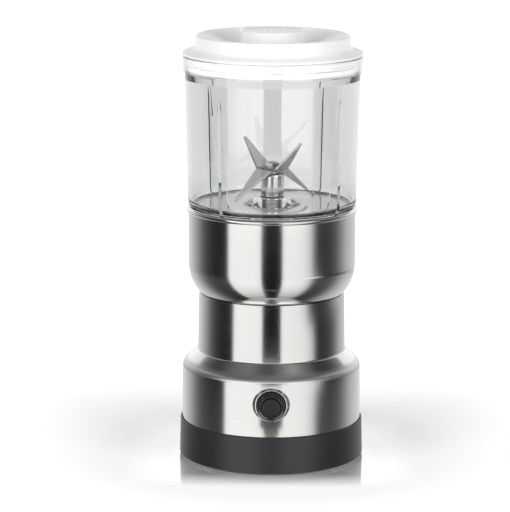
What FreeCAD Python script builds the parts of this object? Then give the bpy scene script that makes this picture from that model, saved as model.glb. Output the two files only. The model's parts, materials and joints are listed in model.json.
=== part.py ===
"""Electric spice grinder, a parametric document in millimetres.

The frame is +Z up, the front (the button) faces -Y, and the origin is on the
surface that the feet stand on, on the grinder's axis.
"""
import FreeCAD, Part
import math
import os
import re
import Sketcher

V = FreeCAD.Vector

# Driving sizes: name, millimetres (or degrees, or a count), what it is
SIZES = [
    # shared allowances
    ("edge_round", 0.6, "rounded outer edge of a moulded piece"),
    ("fine_round", 0.4, "broken edge"),
    ("seat_gap", 0.05, "gap between faces that seat on each other"),
    ("fit_gap", 0.1, "gap between fitted pieces"),
    ("screw_gap", 0.2, "gap round a screw or its head"),
    ("merge", 0.5, "how far one feature runs into the next"),
    ("cut_margin", 1.0, "how far a cut runs past what it cuts"),
    # base
    ("foot_drop", 1.5, "how far the rubber feet stand below the base shell"),
    ("base_lip", 0.7, "base shell's upper edge round the steel housing"),
    ("base_draft", 0.5, "how much wider the base shell is at its lower edge"),
    ("base_height", 21.0, "base shell, lower edge to upper edge"),
    ("base_wall", 2.5, "base shell wall and deck"),
    ("seat_depth", 3.5, "how deep the steel housing sits in the base shell"),
    ("vent_radius", 22.0, "air opening in the deck"),
    ("cover_thickness", 2.4, "bottom cover"),
    ("cover_gap", 0.3, "gap round the bottom cover"),
    ("cover_screw_inset", 6.7, "cover screw inside the cover's edge"),
    ("cover_screw_count", 3, "cover screws"),
    ("cover_screw_angle", 30.0, "first cover screw from +X, degrees"),
    ("cover_screw_radius", 1.5, "cover screw's shank"),
    ("cover_screw_room", 4.5, "cover screw's end below the deck"),
    ("cover_screw_head", 2.9, "radius of a cover screw's head"),
    ("cover_screw_sink", 1.2, "depth of the pocket for a cover screw's head"),
    ("cover_boss_radius", 3.6, "screw boss under the deck"),
    ("foot_radius", 6.0, "rubber foot"),
    ("foot_inset", 10.2, "middle of a foot inside the cover's edge"),
    ("foot_count", 4, "rubber feet"),
    ("foot_angle", 45.0, "first foot from +X, degrees"),
    ("foot_sink", 1.3, "how deep a foot sits in the cover"),
    ("slot_count", 12, "air slots in the bottom cover"),
    ("slot_width", 2.4, "air slot"),
    ("slot_start", 10.0, "inner end of an air slot"),
    ("slot_margin", 8.5, "air slot's outer end from the feet"),
    ("gland_bore", 3.0, "radius of the gland's bore"),
    ("gland_ledge", 1.25, "gland's inner flange beyond its neck"),
    ("gland_collar_ledge", 2.4, "gland's outer collar beyond its neck"),
    ("gland_nose_ledge", 0.6, "gland's outer end beyond its neck"),
    ("gland_proud", 5.5, "gland's end outside the base shell"),
    ("gland_flange", 2.5, "thickness of the gland's inner flange"),
    ("housing_gap", 0.2, "gap round the steel housing in the base"),
    # steel housing
    ("steel_thickness", 0.7, "sheet steel of housing and bowl"),
    ("body_radius", 51.7, "steel housing at its shoulder"),
    ("body_draft", 0.4, "how much wider the steel housing is at its lower edge"),
    ("body_height", 36.6, "steel housing, lower edge to shoulder"),
    ("shoulder_height", 7.7, "sloping shoulder"),
    ("shoulder_round", 5.0, "outer bend at the shoulder"),
    ("neck_bend", 1.6, "inner bend at the foot of the neck"),
    ("neck_radius", 42.9, "neck, outside, at its foot"),
    ("neck_draft", 0.5, "how much narrower the neck is at its top"),
    ("neck_height", 33.7, "neck above the shoulder"),
    # docking bowl
    ("plate_gap", 0.5, "mount plate's top below the neck's top edge"),
    ("bowl_hole", 16.0, "hole in the bowl's floor"),
    ("bowl_foot_inset", 1.4, "edge of the bowl's flat floor inside the neck's top"),
    ("bowl_flare", 7.4, "bowl's upright side outside the edge of its flat floor"),
    ("bowl_waist_height", 8.5, "bowl's floor to where its side would turn upright"),
    ("bowl_round", 24.6, "bend from the bowl's underside to its side"),
    ("bowl_height", 49.7, "bowl's floor to the centre of its rolled rim"),
    ("rim_proud", 1.5, "rolled rim outside the bowl's side"),
    ("rim_tube", 1.7, "radius of the rolled rim's section"),
    ("bowl_screw_count", 3, "bowl screws"),
    ("bowl_screw_angle", 60.0, "first bowl screw from +X, degrees"),
    ("bowl_screw_radius", 1.5, "bowl screw's shank"),
    ("bowl_screw_head", 3.0, "radius of a bowl screw's head"),
    ("bowl_screw_head_height", 1.6, "bowl screw's head"),
    ("bowl_screw_short", 1.0, "bowl screw's end above the mount plate's lower face"),
    # mount plate and tie screws
    ("mount_thickness", 6.0, "motor mount plate"),
    ("mount_gap", 0.3, "gap between mount plate and neck"),
    ("mount_chamfer", 1.0, "bevel round the mount plate's upper edge"),
    ("tie_inset", 3.8, "tie screw inside the mount plate's edge"),
    ("bowl_screw_inset", 13.4, "bowl screw inside the mount plate's edge"),
    ("shaft_hole", 5.0, "radius of the mount plate's shaft hole"),
    ("dust_seal_radius", 10.0, "dust seal, outside"),
    ("dust_seal_depth", 2.5, "pocket of the dust seal"),
    ("tie_cap", 1.5, "mount plate left above a tie screw"),
    ("tie_count", 3, "tie screws"),
    ("tie_radius", 2.0, "tie screw's shank"),
    ("tie_head_radius", 3.6, "tie screw's head"),
    ("tie_head_height", 2.6, "tie screw's head"),
    # dock cup
    ("cup_gap", 0.35, "gap between dock cup and bowl"),
    ("cup_floor", 2.0, "dock cup's floor"),
    ("cup_drop", 13.65, "dock cup's rim below the middle of the rolled rim"),
    ("cup_clearance", 0.6, "gap between the jar base's skirt and the dock cup's ring"),
    ("cup_room", 2.55, "dock cup's ring below the jar base"),
    ("cup_slope", 10.2, "sloping part of the dock cup's floor"),
    ("cup_hole", 15.0, "hole in the dock cup's floor"),
    ("cup_bend", 4.0, "inner bends of the dock cup"),
    ("lug_count", 3, "key lugs"),
    ("lug_width", 8.0, "key lug"),
    ("lug_depth", 1.8, "key lug's reach into the dock cup's ring"),
    ("lug_height", 10.0, "key lug"),
    ("lug_lift", 2.0, "key lug above the jar base's lower edge"),
    ("lug_gap", 0.5, "gap round a key lug"),
    # motor
    ("motor_shaft_radius", 3.0, "motor shaft"),
    ("shaft_end", 2.1, "motor shaft below the fan"),
    ("shaft_cap", 2.2, "drive coupling above the motor shaft"),
    ("bearing_clearance", 0.03, "radial clearance of each shaft in its bearings"),
    ("stator_height", 22.0, "stator stack"),
    ("stator_gap", 3.56, "gap between the stator's side and a tie screw"),
    ("stator_depth", 44.0, "stator across Y"),
    ("air_gap", 0.6, "gap between armature and poles"),
    ("yoke_side", 5.5, "stator's iron on the pole sides"),
    ("yoke_end", 5.0, "stator's iron on the other sides"),
    ("shoe_inset", 2.1, "pole shoe's end inside the bore's radius"),
    ("shoe_ledge", 3.5, "pole shoe beyond its neck"),
    ("shoe_thickness", 1.7, "pole shoe at the edge of the bore"),
    ("coil_gap", 0.3, "gap between coil and iron"),
    ("coil_width", 4.6, "field coil between pole shoe and yoke"),
    ("shoe_curve", 4.5, "pole shoe inside the bore's radius before the bore is cut"),
    ("stator_round", 4.0, "rounded corners of the stator and the motor brackets"),
    ("bracket_vent", 8.0, "half the width of the bottom bracket's vents"),
    ("coil_round", 4.5, "outer corners of a field coil"),
    ("winding_bore", 1.6, "gap between shaft and armature winding"),
    ("winding_round", 1.2, "rounded edges of the armature winding"),
    ("holder_foot", 6.0, "foot of a brush holder"),
    ("holder_foot_inset", 2.5, "foot of a brush holder inside its ends"),
    ("coil_overhang", 5.0, "field coil beyond the stack"),
    ("armature_slots", 12, "armature slots"),
    ("armature_slot_width", 1.8, "armature slot"),
    ("armature_slot_depth", 5.4, "armature slot"),
    ("winding_inset", 1.4, "armature winding inside the core's edge"),
    ("winding_gap", 0.15, "gap between winding and core"),
    ("winding_overhang", 4.4, "armature winding beyond the core"),
    ("commutator_radius", 9.5, "commutator"),
    ("commutator_gap", 1.0, "gap between commutator and armature winding"),
    ("commutator_height", 8.0, "commutator"),
    ("commutator_bars", 24, "commutator bars"),
    ("bar_slit", 0.4, "slit between commutator bars"),
    ("bar_depth", 0.9, "depth of a commutator slit"),
    ("brush_width", 5.0, "brush across the shaft"),
    ("brush_depth", 6.0, "brush along the shaft"),
    ("brush_drop", 0.3, "gap between brush holder and field coil"),
    ("holder_wall", 1.0, "brush holder wall"),
    ("holder_inset", 0.5, "brush holder's outer end inside the stator's side"),
    ("holder_gap", 1.2, "gap between commutator and brush holder"),
    ("brush_coil", 1.8, "mean radius of a brush spring"),
    ("brush_wire", 0.5, "brush spring's wire"),
    ("brush_room", 6.9, "room for the spring behind a brush"),
    ("brush_turns", 5, "turns of a brush spring"),
    ("fan_radius", 21.0, "cooling fan"),
    ("fan_height", 8.0, "cooling fan"),
    ("fan_blades", 9, "cooling fan blades"),
    ("fan_blade", 1.2, "thickness of the fan's disc and blades"),
    ("fan_hub", 3.0, "wall of the fan's hub"),
    ("fan_gap", 1.4, "gap between the fan and the bottom bracket's hub"),
    ("bolt_inset_x", 3.2, "motor bolt inside the stator's side"),
    ("bolt_inset_y", 2.8, "motor bolt inside the stator's front and back"),
    ("motor_bolt_radius", 1.5, "motor bolt's shank"),
    ("motor_bolt_head", 2.8, "radius of a motor bolt's head"),
    ("motor_bolt_head_height", 2.4, "motor bolt's head"),
    ("motor_bolt_sink", 3.0, "pocket of a motor bolt's head"),
    ("motor_nut_width", 5.5, "motor bolt's nut across its flats"),
    ("motor_nut_height", 2.4, "motor bolt's nut"),
    ("leg_radius", 3.1, "bracket leg round a motor bolt"),
    ("bracket_plate", 2.5, "motor bracket plate"),
    ("bracket_gap", 8.5, "stator face to a bracket plate, top"),
    ("bracket_drop", 16.5, "stator face to a bracket plate, bottom"),
    ("bearing_radius", 6.5, "motor bearing, outside"),
    ("bearing_height", 4.5, "motor bearing"),
    ("bearing_seat", 2.0, "wall round a motor bearing"),
    ("bearing_ledge", 1.5, "ledge that a motor bearing rests on"),
    ("hub_drop", 2.2, "bottom bracket's hub below its plate"),
    ("damper_radius", 4.4, "rubber damper"),
    ("damper_height", 2.55, "rubber damper"),
    # button and switch
    ("button_radius", 5.3, "push button's cap"),
    ("button_gap", 0.25, "gap between the button and its bezel"),
    ("button_drop", 14.25, "button's axis below the shoulder"),
    ("button_stand", 6.9, "button's face outside the housing's lower edge"),
    ("button_travel", 2.5, "how far the button presses in"),
    ("button_proud", 1.2, "button's face in front of the bezel"),
    ("bezel_edge", 0.9, "bezel's front edge round its bore"),
    ("bezel_flare", 1.75, "bezel's widening to where it passes the steel"),
    ("bezel_dome", 2.0, "bezel's domed edge"),
    ("bezel_ledge", 2.8, "bezel's flange beyond the bezel"),
    ("bezel_bore_length", 3.3, "bezel's narrow front bore"),
    ("bezel_flange_thickness", 2.0, "bezel's flange"),
    ("lip_gap", 0.2, "gap between bezel and steel lip"),
    ("lip_wall", 1.0, "steel lip round the button"),
    ("lip_flare", 1.7, "steel lip's widening towards the housing"),
    ("lip_land", 0.9, "straight front part of the steel lip"),
    ("lip_bend", 0.8, "bend between the lip's front part and its flare"),
    ("lip_back", 5.7, "steel lip's front behind the button's face"),
    ("stem_radius", 2.2, "push button's stem"),
    ("cap_crown", 0.5, "crown of the push button's face"),
    ("cap_flange", 0.95, "push button's retaining flange, beyond its cap"),
    ("cap_flange_length", 1.5, "push button's retaining flange"),
    ("spring_inset", 1.1, "button spring's mean radius, inside the cap's"),
    ("spring_wire", 0.45, "button spring's wire"),
    ("spring_turns", 4, "button spring's turns"),
    ("plunger_radius", 1.8, "switch plunger"),
    ("plunger_length", 9.0, "switch plunger"),
    ("plunger_proud", 1.5, "switch plunger in front of its bracket"),
    ("plunger_rest", 0.8, "room behind the pressed plunger"),
    ("switch_width", 13.0, "switch body across X"),
    ("switch_tall", 17.0, "switch body along Z"),
    ("switch_deep", 15.0, "switch body along Y"),
    ("bracket_sheet", 1.5, "switch bracket"),
    ("bracket_screw_inset", 2.4, "bracket screw from the bracket's edge"),
    ("bracket_screw_radius", 0.9, "bracket screw's shank"),
    ("bracket_screw_head", 1.6, "radius of a bracket screw's head"),
    ("bracket_screw_head_height", 1.2, "bracket screw's head"),
    ("terminal_length", 6.0, "switch terminal"),
    ("terminal_width", 4.8, "switch terminal"),
    ("terminal_sheet", 0.8, "switch terminal"),
    ("terminal_spacing", 3.5, "switch terminal from the middle"),
    # jar
    ("jar_gap", 0.3, "jar's shoulder above the rolled rim"),
    ("jar_height", 87.2, "jar's shoulder to its upper rim"),
    ("jar_wall", 2.0, "jar wall"),
    ("jar_shoulder", 2.9, "jar's shoulder beyond its spigot"),
    ("jar_taper", 2.0, "how much wider the jar is under its collar"),
    ("jar_foot_round", 2.2, "outer bend at the jar's foot"),
    ("collar_height", 9.5, "jar collar"),
    ("collar_proud", 1.2, "collar outside the jar's wall"),
    ("collar_wall", 2.05, "jar collar"),
    ("collar_slope", 0.6, "height of the collar's sloping outer step"),
    ("collar_ease", 1.0, "height of the collar's sloping inner step"),
    ("collar_step", 1.5, "collar's inner step below its outer one"),
    ("floor_thickness", 2.5, "jar floor"),
    ("floor_rise", 0.5, "jar floor's top above the shoulder"),
    ("spigot_wall", 2.1, "jar's spigot"),
    ("spigot_gap", 0.8, "gap between spigot and rolled rim"),
    ("skirt_gap", 0.4, "gap between spigot and jar base"),
    ("spigot_drop", 2.0, "spigot below the jar floor"),
    ("boss_foot_radius", 16.3, "floor boss at its foot"),
    ("boss_top_radius", 9.0, "floor boss at its top"),
    ("boss_height", 4.1, "floor boss"),
    ("rib_count", 4, "inner ribs"),
    ("rib_angle", 52.0, "first rib from +X, degrees"),
    ("rib_depth", 6.0, "rib's inward reach at the floor"),
    ("rib_room", 10.5, "rib's upper end below the collar's inner step"),
    ("rib_width", 2.0, "rib"),
    ("rib_top", 0.2, "rib's inward reach at its upper end"),
    ("floor_bend", 4.0, "inner bend between jar wall and floor"),
    # jar base
    ("jar_base_wall", 2.2, "jar base skirt"),
    ("jar_base_plate", 3.5, "jar base plate"),
    ("jar_base_height", 29.0, "jar base, overall"),
    # bearing post and spindle
    ("gasket_height", 0.8, "post gasket"),
    ("post_radius", 6.75, "bearing post above the floor"),
    ("post_height", 13.2, "bearing post above its gasket"),
    ("post_round", 1.6, "rounded top of the bearing post"),
    ("shank_radius", 6.0, "bearing post below the floor"),
    ("shank_length", 24.4, "bearing post below its gasket's top"),
    ("shank_gap", 0.15, "hole round the shank"),
    ("bush_radius", 4.6, "spindle bush, outside"),
    ("bush_height", 8.0, "spindle bush"),
    ("seal_radius", 5.1, "spindle seal, outside"),
    ("seal_height", 2.6, "spindle seal"),
    ("nut_height", 4.3, "post lock nut"),
    ("nut_width", 18.0, "post lock nut across its flats"),
    ("spindle_radius", 3.0, "blade spindle"),
    ("spindle_seat", 1.2, "driven coupling below the spindle's end"),
    ("spindle_collar", 4.3, "spindle's collar under the blades"),
    ("collar_lift", 0.3, "spindle's collar above the post"),
    ("spindle_collar_height", 1.1, "spindle's collar"),
    ("stub_radius", 2.5, "threaded stub through the blades"),
    # blades
    ("blade_thickness", 1.2, "blade sheet"),
    ("blade_width", 12.0, "blade at its bend"),
    ("blade_tip", 1.6, "blade at its tip"),
    ("blade_bend", 7.0, "axis to the bend of a blade"),
    ("upper_reach", 20.8, "axis to the tip of the upper blade"),
    ("upper_rise", 16.0, "rise of the upper blade's wings"),
    ("upper_angle", -37.0, "upper blade from +X, degrees"),
    ("lower_reach", 28.0, "axis to the tip of the lower blade"),
    ("lower_fall", 15.0, "fall of the lower blade's wings"),
    ("lower_angle", 43.0, "lower blade from +X, degrees"),
    ("washer_height", 0.5, "blade washer"),
    ("blade_nut_width", 8.0, "blade nut across its flats"),
    ("blade_nut_height", 2.0, "blade nut"),
    ("stub_proud", 0.4, "threaded stub above the blade nut"),
    ("washer_wall", 2.2, "blade washer"),
    ("ring_wall", 2.0, "retaining ring"),
    ("ring_height", 0.8, "retaining ring"),
    ("ring_gap", 0.2, "gap between retaining ring and post"),
    ("seal_ledge", 0.4, "depth of the spindle seal below the post's top"),
    # dog coupling
    ("drive_disc", 3.0, "disc of the drive coupling"),
    ("drive_lift", 1.4, "drive coupling above the dock cup's floor"),
    ("dog_count", 6, "dogs on the drive coupling"),
    ("dog_root", 7.0, "radius between the dogs"),
    ("dog_reach", 11.0, "axis to the outside of a dog"),
    ("drive_edge", 3.0, "drive coupling's disc beyond the dogs"),
    ("driven_wall", 2.6, "driven coupling round its socket"),
    ("dog_width", 4.2, "dog"),
    ("dog_height", 8.5, "dogs above the disc"),
    ("dog_gap", 0.4, "gap between dog and socket"),
    ("driven_web", 7.4, "driven coupling above its socket"),
    ("driven_hub", 7.0, "driven coupling at its top"),
    ("coupling_gap", 0.6, "gap between the two couplings along the axis"),
    # lid
    ("lid_gap", 0.3, "lid flange above the jar's rim"),
    ("lid_overhang", 0.2, "lid flange beyond the collar"),
    ("lid_flange_width", 7.4, "lid flange outside the raised ring"),
    ("lid_flange_edge", 1.4, "lid flange at its edge"),
    ("lid_dome", 3.2, "lid flange's rise towards the ring"),
    ("lid_shoulder", 1.5, "width of the flange's rounded edge"),
    ("lid_ring_wall", 3.0, "raised ring"),
    ("lid_ring_height", 11.25, "raised ring above the flange's underside"),
    ("lid_skin", 2.0, "floor of the lid's recess"),
    ("lid_recess", 8.8, "recess below the ring's top"),
    ("lid_boss_radius", 18.8, "round boss"),
    ("lid_boss_rise", 3.0, "round boss above the ring"),
    ("lid_dish", 0.8, "hollow in the top of the boss"),
    ("lid_crown", 1.8, "crest round the top of the boss"),
    ("lid_dish_slope", 1.6, "sloping side of the boss's hollow"),
    ("lid_round", 1.3, "rounded edges of the lid's ring and recess"),
    ("lid_draft", 0.2, "draft of the lid's upright faces"),
    ("lid_boss_wall", 2.0, "boss wall"),
    ("ramp_half_angle", 21.0, "half the angle of a side ramp, degrees"),
    ("ramp_start", 27.0, "inner end of a side ramp"),
    ("ramp_fall", 5.2, "fall of a side ramp towards the boss"),
    ("ramp_drop", 1.2, "side ramp's upper end below the ring's top"),
    ("plug_wall", 1.9, "lid plug"),
    ("plug_gap", 0.75, "gap between lid plug and collar"),
    ("plug_depth", 8.5, "lid plug below the flange"),
    ("gasket_groove", 1.2, "depth of the plug's groove"),
    ("gasket_tall", 2.4, "height of the plug's groove"),
    ("gasket_squeeze", 0.05, "gap between lid gasket and collar"),
]

# Places that follow from the driving sizes
PLACES = {
    "body_foot_radius": "body_radius + body_draft",
    "neck_top_radius": "neck_radius - neck_draft",
    "bowl_foot_radius": "neck_top_radius - bowl_foot_inset",
    "bowl_radius": "bowl_foot_radius + bowl_flare",
    "rim_radius": "bowl_radius + rim_proud",
    "spigot_radius": "rim_radius - 2 * rim_tube - spigot_gap",
    "jar_foot_radius": "spigot_radius + jar_shoulder",
    "jar_top_radius": "jar_foot_radius + jar_taper",
    "collar_radius": "jar_top_radius + collar_proud",
    "collar_bore": "collar_radius - collar_wall",
    "plug_radius": "collar_bore - plug_gap",
    "lid_flange_radius": "collar_radius + lid_overhang",
    "lid_ring_radius": "lid_flange_radius - lid_flange_width",
    "jar_base_radius": "spigot_radius - spigot_wall - skirt_gap",
    "cup_inner_radius": "jar_base_radius + cup_clearance",
    "cup_well_radius": "cup_inner_radius - cup_slope",
    "lug_reach": "cup_inner_radius + lug_depth",
    "base_top_radius": "body_foot_radius + housing_gap + base_lip",
    "base_radius": "base_top_radius + base_draft",
    "base_top": "foot_drop + base_height",
    "deck_top": "base_top - seat_depth",
    "deck_bottom": "deck_top - base_wall",
    "cover_bottom": "foot_drop + fit_gap",
    "cover_top": "cover_bottom + cover_thickness",
    "cover_radius": "base_radius - base_wall - cover_gap",
    "cover_screw_circle": "cover_radius - cover_screw_inset",
    "cover_screw_length": "deck_bottom - cover_top - cover_screw_room",
    "foot_circle": "cover_radius - foot_inset",
    "slot_end": "foot_circle - foot_radius - slot_margin",
    "gland_flange_radius": "(deck_bottom - cover_top) / 2 - fine_round",
    "gland_neck": "gland_flange_radius - gland_ledge",
    "gland_collar": "gland_neck + gland_collar_ledge",
    "gland_nose": "gland_neck + gland_nose_ledge",
    "gland_end": "base_radius + gland_proud",
    "gland_height": "(cover_top + deck_bottom) / 2",
    "housing_bottom": "deck_top + seat_gap",
    "shoulder_bottom": "housing_bottom + body_height",
    "shoulder_top": "shoulder_bottom + shoulder_height",
    "shoulder_slope": "atan(shoulder_height / (body_radius - neck_radius))",
    "shoulder_shift": "steel_thickness * tan((90 deg - shoulder_slope) / 2)",
    "neck_top": "shoulder_top + neck_height",
    "bowl_bottom": "neck_top - plate_gap",
    "bowl_slope": "atan(bowl_waist_height / (bowl_radius - bowl_foot_radius))",
    "bowl_inner": "bowl_radius - steel_thickness",
    "rim_centre": "bowl_bottom + bowl_height",
    "rim_top": "rim_centre + rim_tube",
    "mount_bottom": "bowl_bottom - mount_thickness",
    "mount_radius": "neck_top_radius - steel_thickness - mount_gap",
    "tie_circle": "mount_radius - tie_inset",
    "bowl_screw_circle": "mount_radius - bowl_screw_inset",
    "tie_top": "bowl_bottom - tie_cap",
    "cup_bottom": "bowl_bottom + steel_thickness + seat_gap",
    "cup_outer": "bowl_inner - cup_gap",
    "cup_floor_top": "cup_bottom + cup_floor",
    "cup_top": "rim_centre - cup_drop",
    "top_plate": "mount_bottom - damper_height - bracket_plate",
    "stator_top": "top_plate - bracket_gap",
    "stator_bottom": "stator_top - stator_height",
    "low_plate": "stator_bottom - bracket_drop - bracket_plate",
    "fan_top": "low_plate - hub_drop - fan_gap",
    "shaft_bottom": "fan_top - fan_height - shaft_end",
    "stator_width": "(2 * (tie_circle * cos(30 deg) - tie_radius - stator_gap))",
    "window_width": "stator_width - 2 * yoke_side",
    "shoe_reach": "window_width / 2 - coil_width - 2 * coil_gap",
    "stator_bore": "shoe_reach - shoe_thickness",
    "armature_radius": "stator_bore - air_gap",
    "shoe_width": "(2 * (stator_bore - shoe_inset))",
    "pole_width": "(shoe_width - 2 * shoe_ledge)",
    "window_depth": "stator_depth - 2 * yoke_end",
    "motor_bolt_x": "(stator_width / 2 - bolt_inset_x)",
    "motor_bolt_y": "(stator_depth / 2 - bolt_inset_y)",
    "armature_slot_root": "armature_radius - armature_slot_depth",
    "winding_radius": "armature_radius - winding_inset",
    "commutator_bottom": "stator_bottom - winding_overhang - commutator_gap - commutator_height",
    "brush_top": "stator_bottom - coil_overhang - brush_drop - holder_wall - fit_gap",
    "brush_height": "brush_top - brush_depth / 2",
    "holder_end": "stator_width / 2 - holder_inset",
    "brush_start": "commutator_radius + fit_gap",
    "brush_end": "holder_end - holder_wall - brush_room",
    "jar_seat": "rim_top + jar_gap",
    "jar_top": "jar_seat + jar_height",
    "collar_bottom": "jar_top - collar_height",
    "rib_height": "collar_bottom - collar_step - floor_top - rib_room",
    "floor_top": "jar_seat + floor_rise",
    "floor_bottom": "floor_top - floor_thickness",
    "boss_top": "floor_top + boss_height",
    "post_bottom": "boss_top + gasket_height",
    "post_top": "post_bottom + post_height",
    "shank_bottom": "post_bottom - shank_length",
    "base_plate_top": "floor_bottom - fit_gap",
    "base_plate_bottom": "base_plate_top - jar_base_plate",
    "jar_base_bottom": "base_plate_top - jar_base_height",
    "lug_bottom": "jar_base_bottom + lug_lift",
    "lug_top": "lug_bottom + lug_height",
    "blade_seat": "post_top + collar_lift + spindle_collar_height",
    "upper_seat": "blade_seat + blade_thickness",
    "washer_seat": "upper_seat + blade_thickness",
    "nut_seat": "washer_seat + washer_height",
    "drive_bottom": "cup_floor_top + drive_lift",
    "drive_face": "drive_bottom + drive_disc",
    "drive_top": "drive_face + dog_height",
    "shaft_top": "drive_top - shaft_cap",
    "drive_disc_radius": "dog_reach + drive_edge",
    "driven_radius": "dog_reach + dog_gap + driven_wall",
    "driven_bottom": "drive_face + coupling_gap",
    "driven_ceiling": "drive_top + coupling_gap",
    "driven_top": "driven_ceiling + driven_web",
    "spindle_bottom": "driven_ceiling + spindle_seat",
    "lid_seat": "jar_top + lid_gap",
    "lid_ring_top": "lid_seat + lid_ring_height",
    "lid_floor": "lid_ring_top - lid_recess",
    "lid_top": "lid_ring_top + lid_boss_rise",
    "seal_top": "post_top - seal_ledge",
    "seal_bottom": "seal_top - seal_height",
    "bush_top": "seal_bottom - screw_gap",
    "groove_top": "lid_seat - plug_depth / 2 + gasket_tall / 2",
    "groove_bottom": "groove_top - gasket_tall",
    "button_height": "shoulder_bottom - button_drop",
    "button_front": "body_foot_radius + button_stand",
    "lip_reach": "button_front - lip_back",
    "bezel_front": "button_front - button_proud",
    "bezel_front_radius": "button_radius + button_gap + bezel_edge",
    "bezel_radius": "bezel_front_radius + bezel_flare",
    "bezel_flange": "bezel_radius + bezel_ledge",
    "flange_front": "sqrt((body_radius - steel_thickness) ^ 2 - bezel_flange ^ 2) - lip_gap",
    "bracket_front": "flange_front - bezel_flange_thickness - seat_gap",
    "bracket_back": "bracket_front - bracket_sheet",
    "switch_front": "bracket_back - fit_gap",
    "switch_back": "switch_front - switch_deep",
    "button_flange": "bezel_front - bezel_bore_length - fit_gap",
    "plunger_front": "bracket_front + plunger_proud",
    "plunger_back": "plunger_front - plunger_length",
    "spring_radius": "button_radius - spring_inset",
}

doc = FreeCAD.newDocument("SpiceGrinder")
sheet = doc.addObject("Spreadsheet::Sheet", "Sizes")
for row, (name, size, note) in enumerate(SIZES, start=1):
    sheet.set("A%d" % row, name)
    sheet.set("B%d" % row, str(size))
    sheet.set("C%d" % row, note)
    sheet.setAlias("B%d" % row, name)
doc.recompute()

SIZE_NAMES = {name for name, size, note in SIZES}
bodies = []
cuts = []


def formula(words):
    """A formula in plain names, as an expression on the spreadsheet."""
    def swap(found):
        word = found.group(0)
        if word in PLACES:
            return "(" + formula(PLACES[word]) + ")"
        if word in SIZE_NAMES:
            return "Sizes." + word
        return word
    return re.sub(r"[a-z][a-z_]*", swap, str(words))


def number(words):
    """The value of a formula now."""
    found = sheet.evalExpression(formula(words))
    return float(getattr(found, "Value", found))


def new_body(name, turn=None):
    body = doc.addObject("PartDesign::Body", name)
    body.Label = name
    if turn:
        body.Placement = FreeCAD.Placement(V(0, 0, 0), FreeCAD.Rotation(V(0, 0, 1), number(turn)))
        body.setExpression("Placement.Rotation.Angle", formula(turn))
    bodies.append(body)
    return body


def new_sketch(body, plane, lift="0", shift="0"):
    """A sketch on one of the body's own planes, moved along its normal and its local y."""
    sketch = body.newObject("Sketcher::SketchObject", body.Label + "_sketch")
    support = [item for item in body.Origin.OriginFeatures if item.Role == plane][0]
    sketch.AttachmentSupport = (support, "")
    sketch.MapMode = "FlatFace"
    if lift != "0":
        sketch.setExpression("AttachmentOffset.Base.z", formula(lift))
    if shift != "0":
        sketch.setExpression("AttachmentOffset.Base.y", formula(shift))
    return sketch


def settle(sketch, constraints):
    """Add (constraint, formula) pairs, then tie each to its formula."""
    numbers = sketch.addConstraint([constraint for constraint, words in constraints])
    for index, (constraint, words) in zip(numbers, constraints):
        if words is not None:
            sketch.setExpression("Constraints[%d]" % index, formula(words))


def fix_point(item, end, x, y):
    """Constraints that hold a point at two formulas from the sketch's origin."""
    held = []
    for kind, axis, words in (("DistanceX", -2, x), ("DistanceY", -1, y)):
        if words == "0":
            held.append((Sketcher.Constraint("PointOnObject", item, end, axis), None))
        else:
            made = Sketcher.Constraint(kind, -1, 1, item, end, number(words))
            held.append((made, words))
    return held


def outline(sketch, corners):
    """A closed outline through the corners; a corner's third value rounds it."""
    points = [V(number(corner[0]), number(corner[1]), 0) for corner in corners]
    radii = [number(corner[2]) if len(corner) > 2 else 0.0 for corner in corners]
    count = len(corners)
    enter, leave, centres, lefts = [], [], [], []
    for i, point in enumerate(points):
        back = (points[i - 1] - point).normalize()
        ahead = (points[(i + 1) % count] - point).normalize()
        lefts.append(ahead.cross(back).z > 0)
        half = back.getAngle(ahead) / 2
        cut = radii[i] / math.tan(half)
        enter.append(point + back * cut)
        leave.append(point + ahead * cut)
        middle = (back + ahead).normalize() if radii[i] else V(0, 0, 0)
        centres.append(point + middle * (radii[i] / math.sin(half)))
    lines = []
    for i in range(count):
        side = Part.LineSegment(leave[i], enter[(i + 1) % count])
        lines.append(sketch.addGeometry(side, False))
    held = []
    for i, corner in enumerate(corners):
        before, after = lines[i - 1], lines[i]
        if not radii[i]:
            held.append((Sketcher.Constraint("Coincident", before, 2, after, 1), None))
            held += fix_point(after, 1, corner[0], corner[1])
            continue
        ends = (enter[i], leave[i]) if lefts[i] else (leave[i], enter[i])
        angles = [math.atan2(end.y - centres[i].y, end.x - centres[i].x) for end in ends]
        circle = Part.Circle(centres[i], V(0, 0, 1), radii[i])
        arc = sketch.addGeometry(Part.ArcOfCircle(circle, angles[0], angles[1]), False)
        first, last = (1, 2) if lefts[i] else (2, 1)
        mark = sketch.addGeometry(Part.Point(points[i]), True)
        held.append((Sketcher.Constraint("Tangent", before, 2, arc, first), None))
        held.append((Sketcher.Constraint("Tangent", after, 1, arc, last), None))
        held.append((Sketcher.Constraint("Radius", arc, radii[i]), corner[2]))
        held.append((Sketcher.Constraint("PointOnObject", mark, 1, before), None))
        held.append((Sketcher.Constraint("PointOnObject", mark, 1, after), None))
        held += fix_point(mark, 1, corner[0], corner[1])
    settle(sketch, held)


def rectangle(sketch, left, low, right, high, rounding=None):
    corners = [(left, low), (right, low), (right, high), (left, high)]
    if rounding:
        corners = [corner + (rounding,) for corner in corners]
    outline(sketch, corners)


def disc(sketch, x, y, radius):
    """A full circle held by formulas."""
    circle = Part.Circle(V(number(x), number(y), 0), V(0, 0, 1), number(radius))
    item = sketch.addGeometry(circle, False)
    held = fix_point(item, 3, x, y)
    held.append((Sketcher.Constraint("Radius", item, number(radius)), radius))
    settle(sketch, held)


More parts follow.
